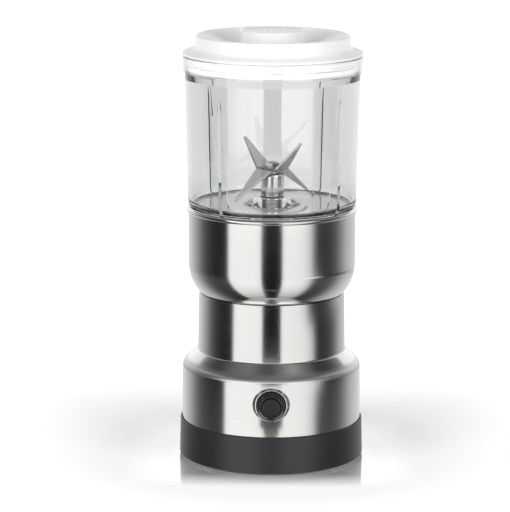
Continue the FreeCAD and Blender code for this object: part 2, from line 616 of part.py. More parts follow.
def polygon(sketch, sides, width, x="0", y="0"):
    """A regular outline given across its flats."""
    spoke = "(%s) / 2 / cos(%s deg)" % (width, 180.0 / sides)
    corners = []
    for i in range(sides):
        angle = 360.0 / sides * (i + 0.5)
        corners.append(("%s + %s * cos(%s deg)" % (x, spoke, angle),
                        "%s + %s * sin(%s deg)" % (y, spoke, angle)))
    outline(sketch, corners)


def on_circle(radius, angle):
    """The X and Y of a point at a radius and an angle in degrees."""
    return "%s * cos(%s * 1 deg)" % (radius, angle), "%s * sin(%s * 1 deg)" % (radius, angle)


def corners_of(x, y):
    """The same place in all four quarters."""
    return [(x, y), ("-" + x, y), (x, "-" + y), ("-" + x, "-" + y)]


def turn_solid(body, corners, axis="V_Axis", plane="XZ_Plane", shift="0", sweep="360"):
    """A turned shape from a half section; a part turn lies to both sides of the section."""
    sketch = new_sketch(body, plane, shift=shift)
    outline(sketch, corners)
    feature = body.newObject("PartDesign::Revolution", body.Label + "_turned")
    feature.Profile = sketch
    feature.ReferenceAxis = (sketch, [axis])
    feature.setExpression("Angle", formula(sweep))
    feature.Midplane = sweep != "360"
    return feature


def raise_solid(body, sketch, length, both_ways=False, reverse=False):
    """A pad of a sketch, along its normal or to both sides of it."""
    feature = body.newObject("PartDesign::Pad", body.Label + "_pad")
    feature.Profile = sketch
    feature.SideType = "Symmetric" if both_ways else "One side"
    feature.Reversed = reverse
    feature.setExpression("Length", formula(length))
    return feature


def new_pocket(body, sketch):
    """A pocket that is checked at the end for having cut something."""
    before = body.Tip
    feature = body.newObject("PartDesign::Pocket", body.Label + "_pocket")
    cuts.append((before, feature))
    feature.Profile = sketch
    return feature


def cut_through(body, sketch):
    """A pocket of a sketch, right through to both sides of it."""
    feature = new_pocket(body, sketch)
    feature.SideType = "Symmetric"
    feature.Type = "ThroughAll"
    return feature


def cut_depth(body, sketch, depth, reverse=False):
    """A pocket against the sketch's normal, or along it if reversed, to a depth."""
    feature = new_pocket(body, sketch)
    feature.SideType = "One side"
    feature.Type = "Length"
    feature.Reversed = reverse
    feature.setExpression("Length", formula(depth))
    return feature


def drill(body, x, y, radius, start, depth, up=False):
    """A round blind or open hole, downwards or upwards from a height."""
    sketch = new_sketch(body, "XY_Plane", lift=start)
    disc(sketch, x, y, radius)
    return cut_depth(body, sketch, depth, reverse=up)


def wind(body, sketch, length, turns):
    """A coil of the sketch's circle about the sketch's own horizontal axis."""
    coil = body.newObject("PartDesign::AdditiveHelix", body.Label + "_coil")
    coil.Profile = sketch
    coil.ReferenceAxis = (sketch, ["H_Axis"])
    coil.Mode = "height-turns-angle"
    coil.setExpression("Height", formula(length))
    coil.setExpression("Turns", formula(turns))
    return coil


def repeat(body, originals, count):
    """Copies of one feature, or of several, round the Z axis."""
    doc.recompute()
    pattern = body.newObject("PartDesign::PolarPattern", body.Label + "_pattern")
    pattern.Originals = originals if isinstance(originals, list) else [originals]
    pattern.Axis = ([item for item in body.Origin.OriginFeatures if item.Role == "Z_Axis"][0], [""])
    pattern.Angle = 360
    pattern.setExpression("Occurrences", formula(count))
    body.Tip = pattern
    return pattern


def four_corners(sketch, x, y, radius):
    """The same circle in all four quarters."""
    for corner_x, corner_y in corners_of(x, y):
        disc(sketch, corner_x, corner_y, radius)


def side_by_side(sketch, x, y, radius):
    """The same circle to the left and to the right."""
    disc(sketch, "-(%s)" % x, y, radius)
    disc(sketch, x, y, radius)


def column(body, x, y, low, high, radius):
    """A round column between two heights."""
    sketch = new_sketch(body, "XY_Plane", lift=low)
    disc(sketch, x, y, radius)
    return raise_solid(body, sketch, "(%s) - (%s)" % (high, low))


def block(body, left, low, right, high, bottom, top, rounding=None):
    """An upright block between two heights."""
    sketch = new_sketch(body, "XY_Plane", lift=bottom)
    rectangle(sketch, left, low, right, high, rounding)
    return raise_solid(body, sketch, "(%s) - (%s)" % (top, bottom))


def ring(name, inner, outer, low, high):
    """A plain turned ring or sleeve."""
    body = new_body(name)
    turn_solid(body, [(inner, low), (outer, low), (outer, high), (inner, high)])
    return body


def headed_screws(name, place, count, shank, radius, head, head_radius):
    """Identical screws round the axis, each a shank and a head, given by their end heights."""
    body = new_body(name)
    shank_solid = column(body, place[0], place[1], shank[0], shank[1], radius)
    head_solid = column(body, place[0], place[1], head[0], head[1], head_radius)
    repeat(body, [shank_solid, head_solid], count)


def base_shell():
    """Black moulded ring with a deck; the steel housing sits in its upper edge."""
    body = new_body("base_shell")
    inner = "base_radius - base_wall"
    lip = "body_foot_radius + housing_gap"
    turn_solid(body, [
        (inner, "foot_drop"), ("base_radius", "foot_drop", "edge_round"),
        ("base_top_radius", "base_top", "fine_round"), (lip, "base_top"), (lip, "deck_top"),
        ("vent_radius", "deck_top"), ("vent_radius", "deck_bottom"), (inner, "deck_bottom")])
    x, y = on_circle("cover_screw_circle", "cover_screw_angle")
    boss = column(body, x, y, "cover_top + fit_gap", "deck_bottom + merge", "cover_boss_radius")
    repeat(body, boss, "cover_screw_count")
    pilot = drill(body, x, y, "cover_screw_radius", "cover_top + fit_gap",
                  "cover_screw_length + cut_margin", up=True)
    repeat(body, pilot, "cover_screw_count")
    hole = drill(body, "0", "tie_circle", "tie_radius + screw_gap", "deck_top", "base_wall + cut_margin")
    repeat(body, hole, "tie_count")
    sketch = new_sketch(body, "XZ_Plane", lift="-base_radius - cut_margin")
    disc(sketch, "0", "gland_height", "gland_neck + fit_gap")
    cut_depth(body, sketch, "base_wall + 3 * cut_margin", reverse=True)


def bottom_cover():
    """Disc under the base shell, with air slots, screw holes and foot pockets."""
    body = new_body("bottom_cover")
    turn_solid(body, [("0", "cover_bottom"), ("cover_radius", "cover_bottom", "fine_round"),
                      ("cover_radius", "cover_top"), ("0", "cover_top")])
    sketch = new_sketch(body, "XY_Plane", lift="cover_bottom")
    rectangle(sketch, "slot_start", "-slot_width / 2", "slot_end", "slot_width / 2", "slot_width * 0.45")
    repeat(body, cut_through(body, sketch), "slot_count")
    x, y = on_circle("foot_circle", "foot_angle")
    pocket = drill(body, x, y, "foot_radius + fit_gap", "cover_bottom", "foot_sink", up=True)
    repeat(body, pocket, "foot_count")
    x, y = on_circle("cover_screw_circle", "cover_screw_angle")
    hole = drill(body, x, y, "cover_screw_radius + screw_gap", "cover_bottom",
                 "cover_thickness + cut_margin", up=True)
    repeat(body, hole, "cover_screw_count")
    sunk = drill(body, x, y, "cover_screw_head + screw_gap", "cover_bottom", "cover_screw_sink", up=True)
    repeat(body, sunk, "cover_screw_count")


def rubber_feet():
    body = new_body("rubber_feet")
    x, y = on_circle("foot_circle", "foot_angle")
    foot = column(body, x, y, "0", "cover_bottom + foot_sink - seat_gap", "foot_radius")
    repeat(body, foot, "foot_count")


def cord_gland():
    """Grommet in the back of the base, with its bore open for a cord."""
    body = new_body("cord_gland")
    wall_out = "base_radius + fit_gap"
    flange = "gland_flange_radius"
    wall_in = "sqrt((base_radius - base_wall) ^ 2 - (%s) ^ 2) - fit_gap" % flange
    turn_solid(body, [
        (wall_in + " - gland_flange", "gland_bore"), ("gland_end", "gland_bore"),
        ("gland_end", "gland_nose", "edge_round"), (wall_out, "gland_collar", "edge_round"),
        (wall_out, "gland_neck"), (wall_in, "gland_neck"), (wall_in, flange),
        (wall_in + " - gland_flange", flange)],
        axis="H_Axis", plane="YZ_Plane", shift="gland_height")


def motor_housing():
    """Spun steel shell: lower body, sloping shoulder and neck, with a lipped button hole."""
    body = new_body("motor_housing")
    skin = "steel_thickness"
    turn_solid(body, [
        ("body_foot_radius", "housing_bottom"),
        ("body_radius", "shoulder_bottom", "shoulder_round"),
        ("neck_radius", "shoulder_top", "neck_bend"),
        ("neck_top_radius", "neck_top"),
        ("neck_top_radius - " + skin, "neck_top"),
        ("neck_radius - " + skin, "shoulder_top - shoulder_shift", "neck_bend + " + skin),
        ("body_radius - " + skin, "shoulder_bottom - shoulder_shift", "shoulder_round - " + skin),
        ("body_foot_radius - " + skin, "housing_bottom")])
    lip = "bezel_radius + lip_gap + lip_wall"
    flare = lip + " + lip_flare"
    start = "-(sqrt((body_radius - %s / 2) ^ 2 - (%s) ^ 2))" % (skin, flare)
    turn_solid(body, [
        ("-lip_reach", "0"), ("-lip_reach", lip, "fine_round"), ("-lip_reach + lip_land", lip, "lip_bend"),
        (start, flare), (start, "0")],
        axis="H_Axis", plane="YZ_Plane", shift="button_height")
    sketch = new_sketch(body, "XZ_Plane", lift="lip_reach + cut_margin")
    disc(sketch, "0", "button_height", "bezel_radius + lip_gap")
    cut_depth(body, sketch, "lip_reach - flange_front + 3 * cut_margin")


def docking_bowl():
    """Drawn steel bowl with a rolled rim; its round underside nests in the neck."""
    body = new_body("docking_bowl")
    side = "bowl_bottom + bowl_waist_height"
    lift = "steel_thickness * (1 - sin(bowl_slope)) / cos(bowl_slope)"
    foot = ("bowl_radius + (steel_thickness - bowl_waist_height - steel_thickness / cos(bowl_slope))"
            " / tan(bowl_slope)")
    turn_solid(body, [
        ("bowl_hole", "bowl_bottom"), ("bowl_foot_radius", "bowl_bottom"),
        ("bowl_radius", side, "bowl_round"), ("bowl_radius", "rim_centre"),
        ("bowl_inner", "rim_centre"), ("bowl_inner", side + " + " + lift, "bowl_round - steel_thickness"),
        (foot, "bowl_bottom + steel_thickness"), ("bowl_hole", "bowl_bottom + steel_thickness")])
    sketch = new_sketch(body, "XZ_Plane")
    disc(sketch, "rim_radius - rim_tube", "rim_centre", "rim_tube")
    rim = body.newObject("PartDesign::Revolution", "rolled_rim")
    rim.Profile = sketch
    rim.ReferenceAxis = (sketch, ["V_Axis"])
    rim.Angle = 360
    x, y = on_circle("bowl_screw_circle", "bowl_screw_angle")
    hole = drill(body, x, y, "bowl_screw_radius + screw_gap", "bowl_bottom",
                 "steel_thickness + cut_margin", up=True)
    repeat(body, hole, "bowl_screw_count")


def dock_cup():
    """Moulded lining of the bowl with a keyed ring that the jar base drops into."""
    body = new_body("dock_cup")
    inset = "(steel_thickness + cup_gap)"
    side = "bowl_bottom + bowl_waist_height + " + inset + " * (1 - sin(bowl_slope)) / cos(bowl_slope)"
    foot = ("bowl_radius + (cup_bottom - bowl_bottom - bowl_waist_height - " + inset
            + " / cos(bowl_slope)) / tan(bowl_slope)")
    turn_solid(body, [
        ("cup_hole", "cup_bottom"), (foot, "cup_bottom"),
        ("cup_outer", side, "bowl_round - " + inset), ("cup_outer", "cup_top", "edge_round"),
        ("cup_inner_radius", "cup_top", "edge_round"),
        ("cup_inner_radius", "jar_base_bottom - cup_room", "cup_bend"),
        ("cup_well_radius", "cup_floor_top", "cup_bend"), ("cup_hole", "cup_floor_top")])
    sketch = new_sketch(body, "XY_Plane", lift="cup_top + cut_margin")
    rectangle(sketch, "cup_inner_radius - 3 * cut_margin", "-lug_width / 2 - lug_gap",
              "lug_reach + lug_gap", "lug_width / 2 + lug_gap")
    slot = cut_depth(body, sketch, "cup_top - lug_bottom + 2 * cut_margin")
    repeat(body, slot, "lug_count")
    x, y = on_circle("bowl_screw_circle", "bowl_screw_angle")
    hole = drill(body, x, y, "bowl_screw_radius + screw_gap", "cup_floor_top", "cup_floor + cut_margin")
    repeat(body, hole, "bowl_screw_count")


def mount_plate():
    """Plate in the neck that the motor hangs from and that the tie screws pull down."""
    body = new_body("motor_mount_plate")
    top = "bowl_bottom - seat_gap"
    pocket = "bowl_bottom - dust_seal_depth"
    turn_solid(body, [
        ("shaft_hole", "mount_bottom"), ("mount_radius", "mount_bottom"),
        ("mount_radius", top + " - mount_chamfer"), ("mount_radius - mount_chamfer", top),
        ("dust_seal_radius", top), ("dust_seal_radius", pocket), ("shaft_hole", pocket)])
    thread = drill(body, "0", "tie_circle", "tie_radius", "mount_bottom",
                   "tie_top - mount_bottom + fit_gap", up=True)
    repeat(body, thread, "tie_count")
    x, y = on_circle("bowl_screw_circle", "bowl_screw_angle")
    thread = drill(body, x, y, "bowl_screw_radius", "mount_bottom", "mount_thickness + cut_margin", up=True)
    repeat(body, thread, "bowl_screw_count")
    sketch = new_sketch(body, "XY_Plane", lift="mount_bottom")
    four_corners(sketch, "motor_bolt_x", "motor_bolt_y", "motor_bolt_radius + screw_gap")
    cut_through(body, sketch)
    sketch = new_sketch(body, "XY_Plane", lift="bowl_bottom")
    four_corners(sketch, "motor_bolt_x", "motor_bolt_y", "motor_bolt_head + screw_gap")
    cut_depth(body, sketch, "motor_bolt_sink")


def stator_core():
    """Laminated frame with two poles on the X axis."""
    body = new_body("stator_core")
    sketch = new_sketch(body, "XY_Plane", lift="stator_bottom")
    motor_outline(sketch)
    rectangle(sketch, "-window_width / 2", "-window_depth / 2", "window_width / 2", "window_depth / 2")
    raise_solid(body, sketch, "stator_height")
    root = "window_width / 2 + merge"
    face = "stator_bore - shoe_curve"
    sketch = new_sketch(body, "XY_Plane", lift="stator_bottom")
    outline(sketch, [
        (face, "-shoe_width / 2"), ("shoe_reach", "-shoe_width / 2"),
        ("shoe_reach", "-pole_width / 2"), (root, "-pole_width / 2"),
        (root, "pole_width / 2"), ("shoe_reach", "pole_width / 2"),
        ("shoe_reach", "shoe_width / 2"), (face, "shoe_width / 2")])
    pole = raise_solid(body, sketch, "stator_height")
    repeat(body, pole, "2")
    sketch = new_sketch(body, "XY_Plane", lift="stator_bottom")
    disc(sketch, "0", "0", "stator_bore")
    cut_through(body, sketch)
    sketch = new_sketch(body, "XY_Plane", lift="stator_bottom")
    four_corners(sketch, "motor_bolt_x", "motor_bolt_y", "motor_bolt_radius + screw_gap")
    cut_through(body, sketch)


def motor_outline(sketch):
    """The outline that the stator and both motor brackets share."""
    rectangle(sketch, "-stator_width / 2", "-stator_depth / 2",
              "stator_width / 2", "stator_depth / 2", "stator_round")


def field_coils():
    """One wound coil round each pole neck."""
    body = new_body("field_coils")
    sketch = new_sketch(body, "YZ_Plane", lift="shoe_reach + coil_gap")
    half_in = "pole_width / 2 + coil_gap"
    half_out = "window_depth / 2 - coil_gap"
    rectangle(sketch, "-(%s)" % half_out, "stator_bottom - coil_overhang",
              half_out, "stator_top + coil_overhang", "coil_round")
    rectangle(sketch, "-(%s)" % half_in, "stator_bottom - coil_gap",
              half_in, "stator_top + coil_gap", "cut_margin")
    coil = raise_solid(body, sketch, "coil_width")
    repeat(body, coil, "2")


def bracket(name, plate, leg_low, leg_high, hub_low, bearing_low):
    """Motor bracket: a plate on four legs, with a hub that holds a bearing."""
    body = new_body(name)
    top = plate + " + bracket_plate"
    sketch = new_sketch(body, "XY_Plane", lift=plate)
    motor_outline(sketch)
    raise_solid(body, sketch, "bracket_plate")
    sketch = new_sketch(body, "XY_Plane", lift=leg_low)
    four_corners(sketch, "motor_bolt_x", "motor_bolt_y", "leg_radius")
    raise_solid(body, sketch, "(%s) - (%s)" % (leg_high, leg_low))
    column(body, "0", "0", hub_low, top, "bearing_radius + bearing_seat")
    sketch = new_sketch(body, "XY_Plane", lift=plate)
    four_corners(sketch, "motor_bolt_x", "motor_bolt_y", "motor_bolt_radius + screw_gap")
    disc(sketch, "0", "0", "bearing_radius - bearing_ledge")
    cut_through(body, sketch)
    drill(body, "0", "0", "bearing_radius", bearing_low, "bearing_height", up=True)
    return body


def motor_brackets():
    bore = "motor_shaft_radius + bearing_clearance"
    seat = "top_plate + bracket_plate - bearing_height"
    bracket("top_bracket", "top_plate", "stator_top", "top_plate + merge", seat + " - merge", seat)
    ring("top_bearing", bore, "bearing_radius", seat, "top_plate + bracket_plate - fit_gap")
    seat = "low_plate - hub_drop"
    body = bracket("bottom_bracket", "low_plate", "low_plate + bracket_plate - merge", "stator_bottom",
                   seat, seat)
    ring("bottom_bearing", bore, "bearing_radius", seat + " + fit_gap", seat + " + bearing_height")
    inner = "bearing_radius + bearing_seat + 1.5 * cut_margin"
    outer = "stator_depth / 2 - 3 * cut_margin"
    sketch = new_sketch(body, "XY_Plane", lift="low_plate")
    rectangle(sketch, "-bracket_vent", inner, "bracket_vent", outer, "cut_margin")
    rectangle(sketch, "-bracket_vent", "-(%s)" % outer, "bracket_vent", "-(%s)" % inner, "cut_margin")
    cut_through(body, sketch)


def motor_bolts():
    """Four long bolts hold dampers, brackets and stator to the mount plate; nuts below."""
    nut_top = "low_plate - fit_gap"
    bolt_end = nut_top + " - motor_nut_height - merge"
    head_low = "bowl_bottom - motor_bolt_sink"
    body = new_body("motor_bolts")
    sketch = new_sketch(body, "XY_Plane", lift=bolt_end)
    four_corners(sketch, "motor_bolt_x", "motor_bolt_y", "motor_bolt_radius")
    raise_solid(body, sketch, "%s + merge - (%s)" % (head_low, bolt_end))
    sketch = new_sketch(body, "XY_Plane", lift=head_low)
    four_corners(sketch, "motor_bolt_x", "motor_bolt_y", "motor_bolt_head")
    raise_solid(body, sketch, "motor_bolt_head_height")
    body = new_body("motor_bolt_nuts")
    sketch = new_sketch(body, "XY_Plane", lift=nut_top + " - motor_nut_height")
    for x, y in corners_of("motor_bolt_x", "motor_bolt_y"):
        polygon(sketch, 6, "motor_nut_width", x, y)
    four_corners(sketch, "motor_bolt_x", "motor_bolt_y", "motor_bolt_radius")
    raise_solid(body, sketch, "motor_nut_height")
    body = new_body("motor_dampers")
    sketch = new_sketch(body, "XY_Plane", lift="top_plate + bracket_plate")
    four_corners(sketch, "motor_bolt_x", "motor_bolt_y", "damper_radius")
    four_corners(sketch, "motor_bolt_x", "motor_bolt_y", "motor_bolt_radius + fit_gap")
    raise_solid(body, sketch, "mount_bottom - top_plate - bracket_plate")


def rotor():
    """Shaft, armature, commutator, fan and the drive coupling on its upper end."""
    shaft = "motor_shaft_radius"
    body = new_body("motor_shaft")
    turn_solid(body, [
        ("0", "shaft_bottom"), (shaft + " - fine_round", "shaft_bottom"),
        (shaft, "shaft_bottom + fine_round"), (shaft, "shaft_top - fine_round"),
        (shaft + " - fine_round", "shaft_top"), ("0", "shaft_top")])
    body = ring("armature_core", shaft, "armature_radius", "stator_bottom", "stator_top")
    sketch = new_sketch(body, "XY_Plane", lift="stator_bottom")
    rectangle(sketch, "armature_slot_root", "-armature_slot_width / 2",
              "armature_radius + cut_margin", "armature_slot_width / 2")
    repeat(body, cut_through(body, sketch), "armature_slots")
    body = new_body("armature_windings")
    inner = shaft + " + winding_bore"
    for low, high in (("stator_bottom - winding_overhang", "stator_bottom - winding_gap"),
                      ("stator_top + winding_gap", "stator_top + winding_overhang")):
        turn_solid(body, [(inner, low, "winding_round"), ("winding_radius", low, "winding_round"),
                          ("winding_radius", high, "winding_round"), (inner, high, "winding_round")])
    bar = block(body, "armature_slot_root + winding_gap", "-armature_slot_width / 2 + winding_gap",
                "winding_radius - fine_round", "armature_slot_width / 2 - winding_gap",
                "stator_bottom - winding_round", "stator_top + winding_round")
    repeat(body, bar, "armature_slots")
    body = ring("commutator", shaft, "commutator_radius",
                "commutator_bottom", "commutator_bottom + commutator_height")
    sketch = new_sketch(body, "XY_Plane", lift="commutator_bottom")
    rectangle(sketch, "commutator_radius - bar_depth", "-bar_slit / 2",
              "commutator_radius + cut_margin", "bar_slit / 2")
    repeat(body, cut_through(body, sketch), "commutator_bars")
    body = new_body("cooling_fan")
    bottom = "(fan_top - fan_height)"
    hub = shaft + " + fan_hub"
    turn_solid(body, [
        (shaft, bottom), (hub, bottom), (hub, "fan_top - fan_blade"),
        ("fan_radius", "fan_top - fan_blade"), ("fan_radius", "fan_top"), (shaft, "fan_top")])
    vane = block(body, hub + " - merge", "-fan_blade / 2", "fan_radius - merge", "fan_blade / 2",
                 bottom, "fan_top - fan_blade / 2")
    repeat(body, vane, "fan_blades")
    body = new_body("drive_coupling")
    turn_solid(body, [
        ("0", "shaft_top"), (shaft, "shaft_top"), (shaft, "drive_bottom"),
        ("drive_disc_radius", "drive_bottom", "fine_round"),
        ("drive_disc_radius", "drive_face", "fine_round"),
        ("dog_root", "drive_face"), ("dog_root", "drive_top"), ("0", "drive_top")])
    dog = block(body, "dog_root - dog_width / 2", "-dog_width / 2", "dog_reach", "dog_width / 2",
                "drive_face - merge", "drive_top")
    repeat(body, dog, "dog_count")


def brushes():
    """Two carbon brushes on the X axis in brass holders, each with its spring."""
    low = "brush_height - brush_depth / 2"
    high = "brush_height + brush_depth / 2"
    half = "(brush_width / 2 + fit_gap)"
    start = "commutator_radius + holder_gap"
    body = new_body("brush_holders")
    shell = block(body, start, "-%s - holder_wall" % half, "holder_end", half + " + holder_wall",
                  low + " - fit_gap - holder_wall", high + " + fit_gap + holder_wall")
    repeat(body, shell, "2")
    sketch = new_sketch(body, "YZ_Plane", lift="holder_end - holder_wall")
    rectangle(sketch, "-" + half, low + " - fit_gap", half, high + " + fit_gap")
    tunnel = cut_depth(body, sketch, "holder_end")
    repeat(body, tunnel, "2")
    foot = block(body, start + " + holder_foot_inset", "-holder_foot / 2",
                 "holder_end - holder_foot_inset", "holder_foot / 2",
                 "low_plate + bracket_plate", low + " - holder_wall")
    repeat(body, foot, "2")
    body = new_body("carbon_brushes")
    carbon = block(body, "brush_start", "-brush_width / 2", "brush_end", "brush_width / 2", low, high)
    repeat(body, carbon, "2")
    body = new_body("brush_springs")
    sketch = new_sketch(body, "XZ_Plane", shift="brush_height")
    disc(sketch, "brush_end + brush_wire / 2", "brush_coil", "brush_wire / 2")
    coil = wind(body, sketch, "brush_room - brush_wire - fit_gap", "brush_turns")
    repeat(body, coil, "2")


def button_group():
    """Push button, bezel, return spring, bracket, switch body, plunger and terminals."""
    bore = "button_radius + button_gap"
    back = "flange_front - bezel_flange_thickness"
    step = "button_flange + fit_gap"
    cap_flange = "button_radius + cap_flange"
    turn_on_button("button_bezel", [
        ("-bezel_front", bore, "fine_round"), ("-bezel_front", "bezel_front_radius", "edge_round"),
        ("-lip_reach + edge_round", "bezel_radius", "bezel_dome"), ("-flange_front", "bezel_radius"),
        ("-flange_front", "bezel_flange"), ("-(%s)" % back, "bezel_flange"),
        ("-(%s)" % back, cap_flange + " + button_gap"),
        ("-(%s)" % step, cap_flange + " + button_gap"), ("-(%s)" % step, bore)])
    stop = "-button_flange + cap_flange_length"
    turn_on_button("push_button", [
        ("-button_front", "0"), ("-button_front + cap_crown / 4", "button_radius * 0.75"),
        ("-button_front + cap_crown", "button_radius", "fine_round"),
        ("-button_flange", "button_radius"), ("-button_flange", cap_flange),
        (stop, cap_flange), (stop, "stem_radius"),
        ("-plunger_front - fit_gap", "stem_radius"), ("-plunger_front - fit_gap", "0")])
    body = new_body("button_spring")
    sketch = new_sketch(body, "YZ_Plane", shift="button_height")
    disc(sketch, stop + " + spring_wire / 2 + fit_gap / 2", "spring_radius", "spring_wire / 2")
    room = "button_flange - cap_flange_length - bracket_front - spring_wire"
    wind(body, sketch, room + " - fit_gap", "spring_turns")
    screw_x = "bezel_flange - bracket_screw_inset"
    body = new_body("switch_bracket")
    sketch = new_sketch(body, "XZ_Plane", lift="bracket_back")
    rectangle(sketch, "-bezel_flange", "button_height - bezel_flange",
              "bezel_flange", "button_height + bezel_flange", "bezel_flange_thickness")
    disc(sketch, "0", "button_height", "stem_radius + fine_round")
    side_by_side(sketch, screw_x, "button_height", "bracket_screw_radius")
    raise_solid(body, sketch, "bracket_sheet")
    body = new_body("bracket_screws")
    sketch = new_sketch(body, "XZ_Plane", lift="bracket_back - bracket_screw_head_height")
    side_by_side(sketch, screw_x, "button_height", "bracket_screw_head")
    raise_solid(body, sketch, "bracket_screw_head_height")
    sketch = new_sketch(body, "XZ_Plane", lift="bracket_back - screw_gap")
    side_by_side(sketch, screw_x, "button_height", "bracket_screw_radius")
    raise_solid(body, sketch, "bracket_sheet + screw_gap")
    body = new_body("switch_body")
    sketch = new_sketch(body, "XZ_Plane", lift="switch_back")
    rectangle(sketch, "-switch_width / 2", "button_height - switch_tall / 2",
              "switch_width / 2", "button_height + switch_tall / 2", "edge_round")
    raise_solid(body, sketch, "switch_deep")
    sketch = new_sketch(body, "XZ_Plane", lift="switch_front")
    disc(sketch, "0", "button_height", "plunger_radius + fit_gap")
    cut_depth(body, sketch, "switch_front - plunger_back + button_travel + plunger_rest")
    turn_on_button("switch_plunger", [
        ("-plunger_front", "0"), ("-plunger_front", "plunger_radius - fine_round"),
        ("-plunger_front + fine_round", "plunger_radius"),
        ("-plunger_back", "plunger_radius"), ("-plunger_back", "0")])
    body = new_body("switch_terminals")
    sketch = new_sketch(body, "XZ_Plane", lift="switch_back - terminal_length")
    for side in ("-terminal_spacing", "terminal_spacing"):
        rectangle(sketch, side + " - terminal_sheet / 2", "button_height - terminal_width / 2",
                  side + " + terminal_sheet / 2", "button_height + terminal_width / 2")
    raise_solid(body, sketch, "terminal_length")


def turn_on_button(name, corners):
    """A piece turned about the button's axis."""
    body = new_body(name)
    turn_solid(body, corners, axis="H_Axis", plane="YZ_Plane", shift="button_height")


def jar():
    """Clear moulded jar: tapered wall, collar, floor with a boss, and four inner ribs."""
    body = new_body("jar", turn="rib_angle")
    inner_top = "jar_top_radius - jar_wall"
    inner_foot = "jar_foot_radius - jar_wall"
    spigot_in = "spigot_radius - spigot_wall"
    step = "collar_bottom - collar_step"
    turn_solid(body, [
        ("spigot_radius", "floor_bottom - spigot_drop"), ("spigot_radius", "jar_seat"),
        ("jar_foot_radius", "jar_seat", "jar_foot_round"), ("jar_top_radius", "collar_bottom"),
        ("collar_radius - fit_gap", "collar_bottom + collar_slope"),
        ("collar_radius", "jar_top", "fine_round"), ("collar_bore", "jar_top", "fine_round"),
        ("collar_bore", step + " + collar_ease"), (inner_top, step),
        (inner_foot, "floor_top", "floor_bend"), ("boss_foot_radius", "floor_top", "edge_round"),
        ("boss_top_radius", "boss_top", "edge_round"), ("shank_radius + shank_gap", "boss_top"),
        ("shank_radius + shank_gap", "floor_bottom"), (spigot_in, "floor_bottom"),
        (spigot_in, "floor_bottom - spigot_drop")])
    rib_out = ("%s + (%s - (%s)) * rib_height / (%s - floor_top)"
               % (inner_foot, inner_top, inner_foot, step))
    sketch = new_sketch(body, "XZ_Plane")
    outline(sketch, [
        (inner_foot + " - rib_depth", "floor_top - merge"), (inner_foot + " + merge", "floor_top - merge"),
        (rib_out + " + merge", "floor_top + rib_height"),
        (rib_out + " - rib_top", "floor_top + rib_height")])
    rib = raise_solid(body, sketch, "rib_width", both_ways=True)
    repeat(body, rib, "rib_count")


def jar_base():
    """Moulded base under the jar, with a skirt and key lugs that enter the dock cup."""
    body = new_body("jar_base")
    skirt_in = "jar_base_radius - jar_base_wall"
    bore = "shank_radius + shank_gap"
    turn_solid(body, [
        (bore, "base_plate_bottom"), (skirt_in, "base_plate_bottom"),
        (skirt_in, "jar_base_bottom"), ("jar_base_radius", "jar_base_bottom", "edge_round"),
        ("jar_base_radius", "base_plate_top"), (bore, "base_plate_top")])
    lug = block(body, skirt_in + " + merge", "-lug_width / 2", "lug_reach", "lug_width / 2",
                "lug_bottom", "lug_top")
    repeat(body, lug, "lug_count")


def bearing_post():
    """Chromed post through the jar floor, with its bushes, seal, gasket and lock nut."""
    body = new_body("bearing_post")
    mouth = "seal_radius - edge_round"
    bush_low = "bush_top - bush_height"
    turn_solid(body, [
        ("shank_radius", "shank_bottom"), ("shank_radius", "post_bottom"),
        ("post_radius", "post_bottom"), ("post_radius", "post_top", "post_round"),
        (mouth, "post_top"), (mouth, "seal_top"), ("seal_radius", "seal_top"),
        ("seal_radius", "seal_bottom"), ("bush_radius", "seal_bottom"), ("bush_radius", bush_low),
        ("spindle_radius + merge", bush_low), ("spindle_radius + merge", "shank_bottom + bush_height"),
        ("bush_radius", "shank_bottom + bush_height"), ("bush_radius", "shank_bottom")])
    bore = "spindle_radius + bearing_clearance"
    ring("upper_bush", bore, "bush_radius", bush_low, "bush_top")
    ring("lower_bush", bore, "bush_radius", "shank_bottom", "shank_bottom + bush_height - fit_gap")
    ring("spindle_seal", bore, "seal_radius", "seal_bottom", "seal_top - fit_gap")
    ring("post_gasket", "shank_radius + shank_gap", "post_radius", "boss_top", "post_bottom")
    body = new_body("post_lock_nut")
    sketch = new_sketch(body, "XY_Plane", lift="base_plate_bottom - nut_height")
    polygon(sketch, 6, "nut_width")
    disc(sketch, "0", "0", "shank_radius")
    raise_solid(body, sketch, "nut_height")


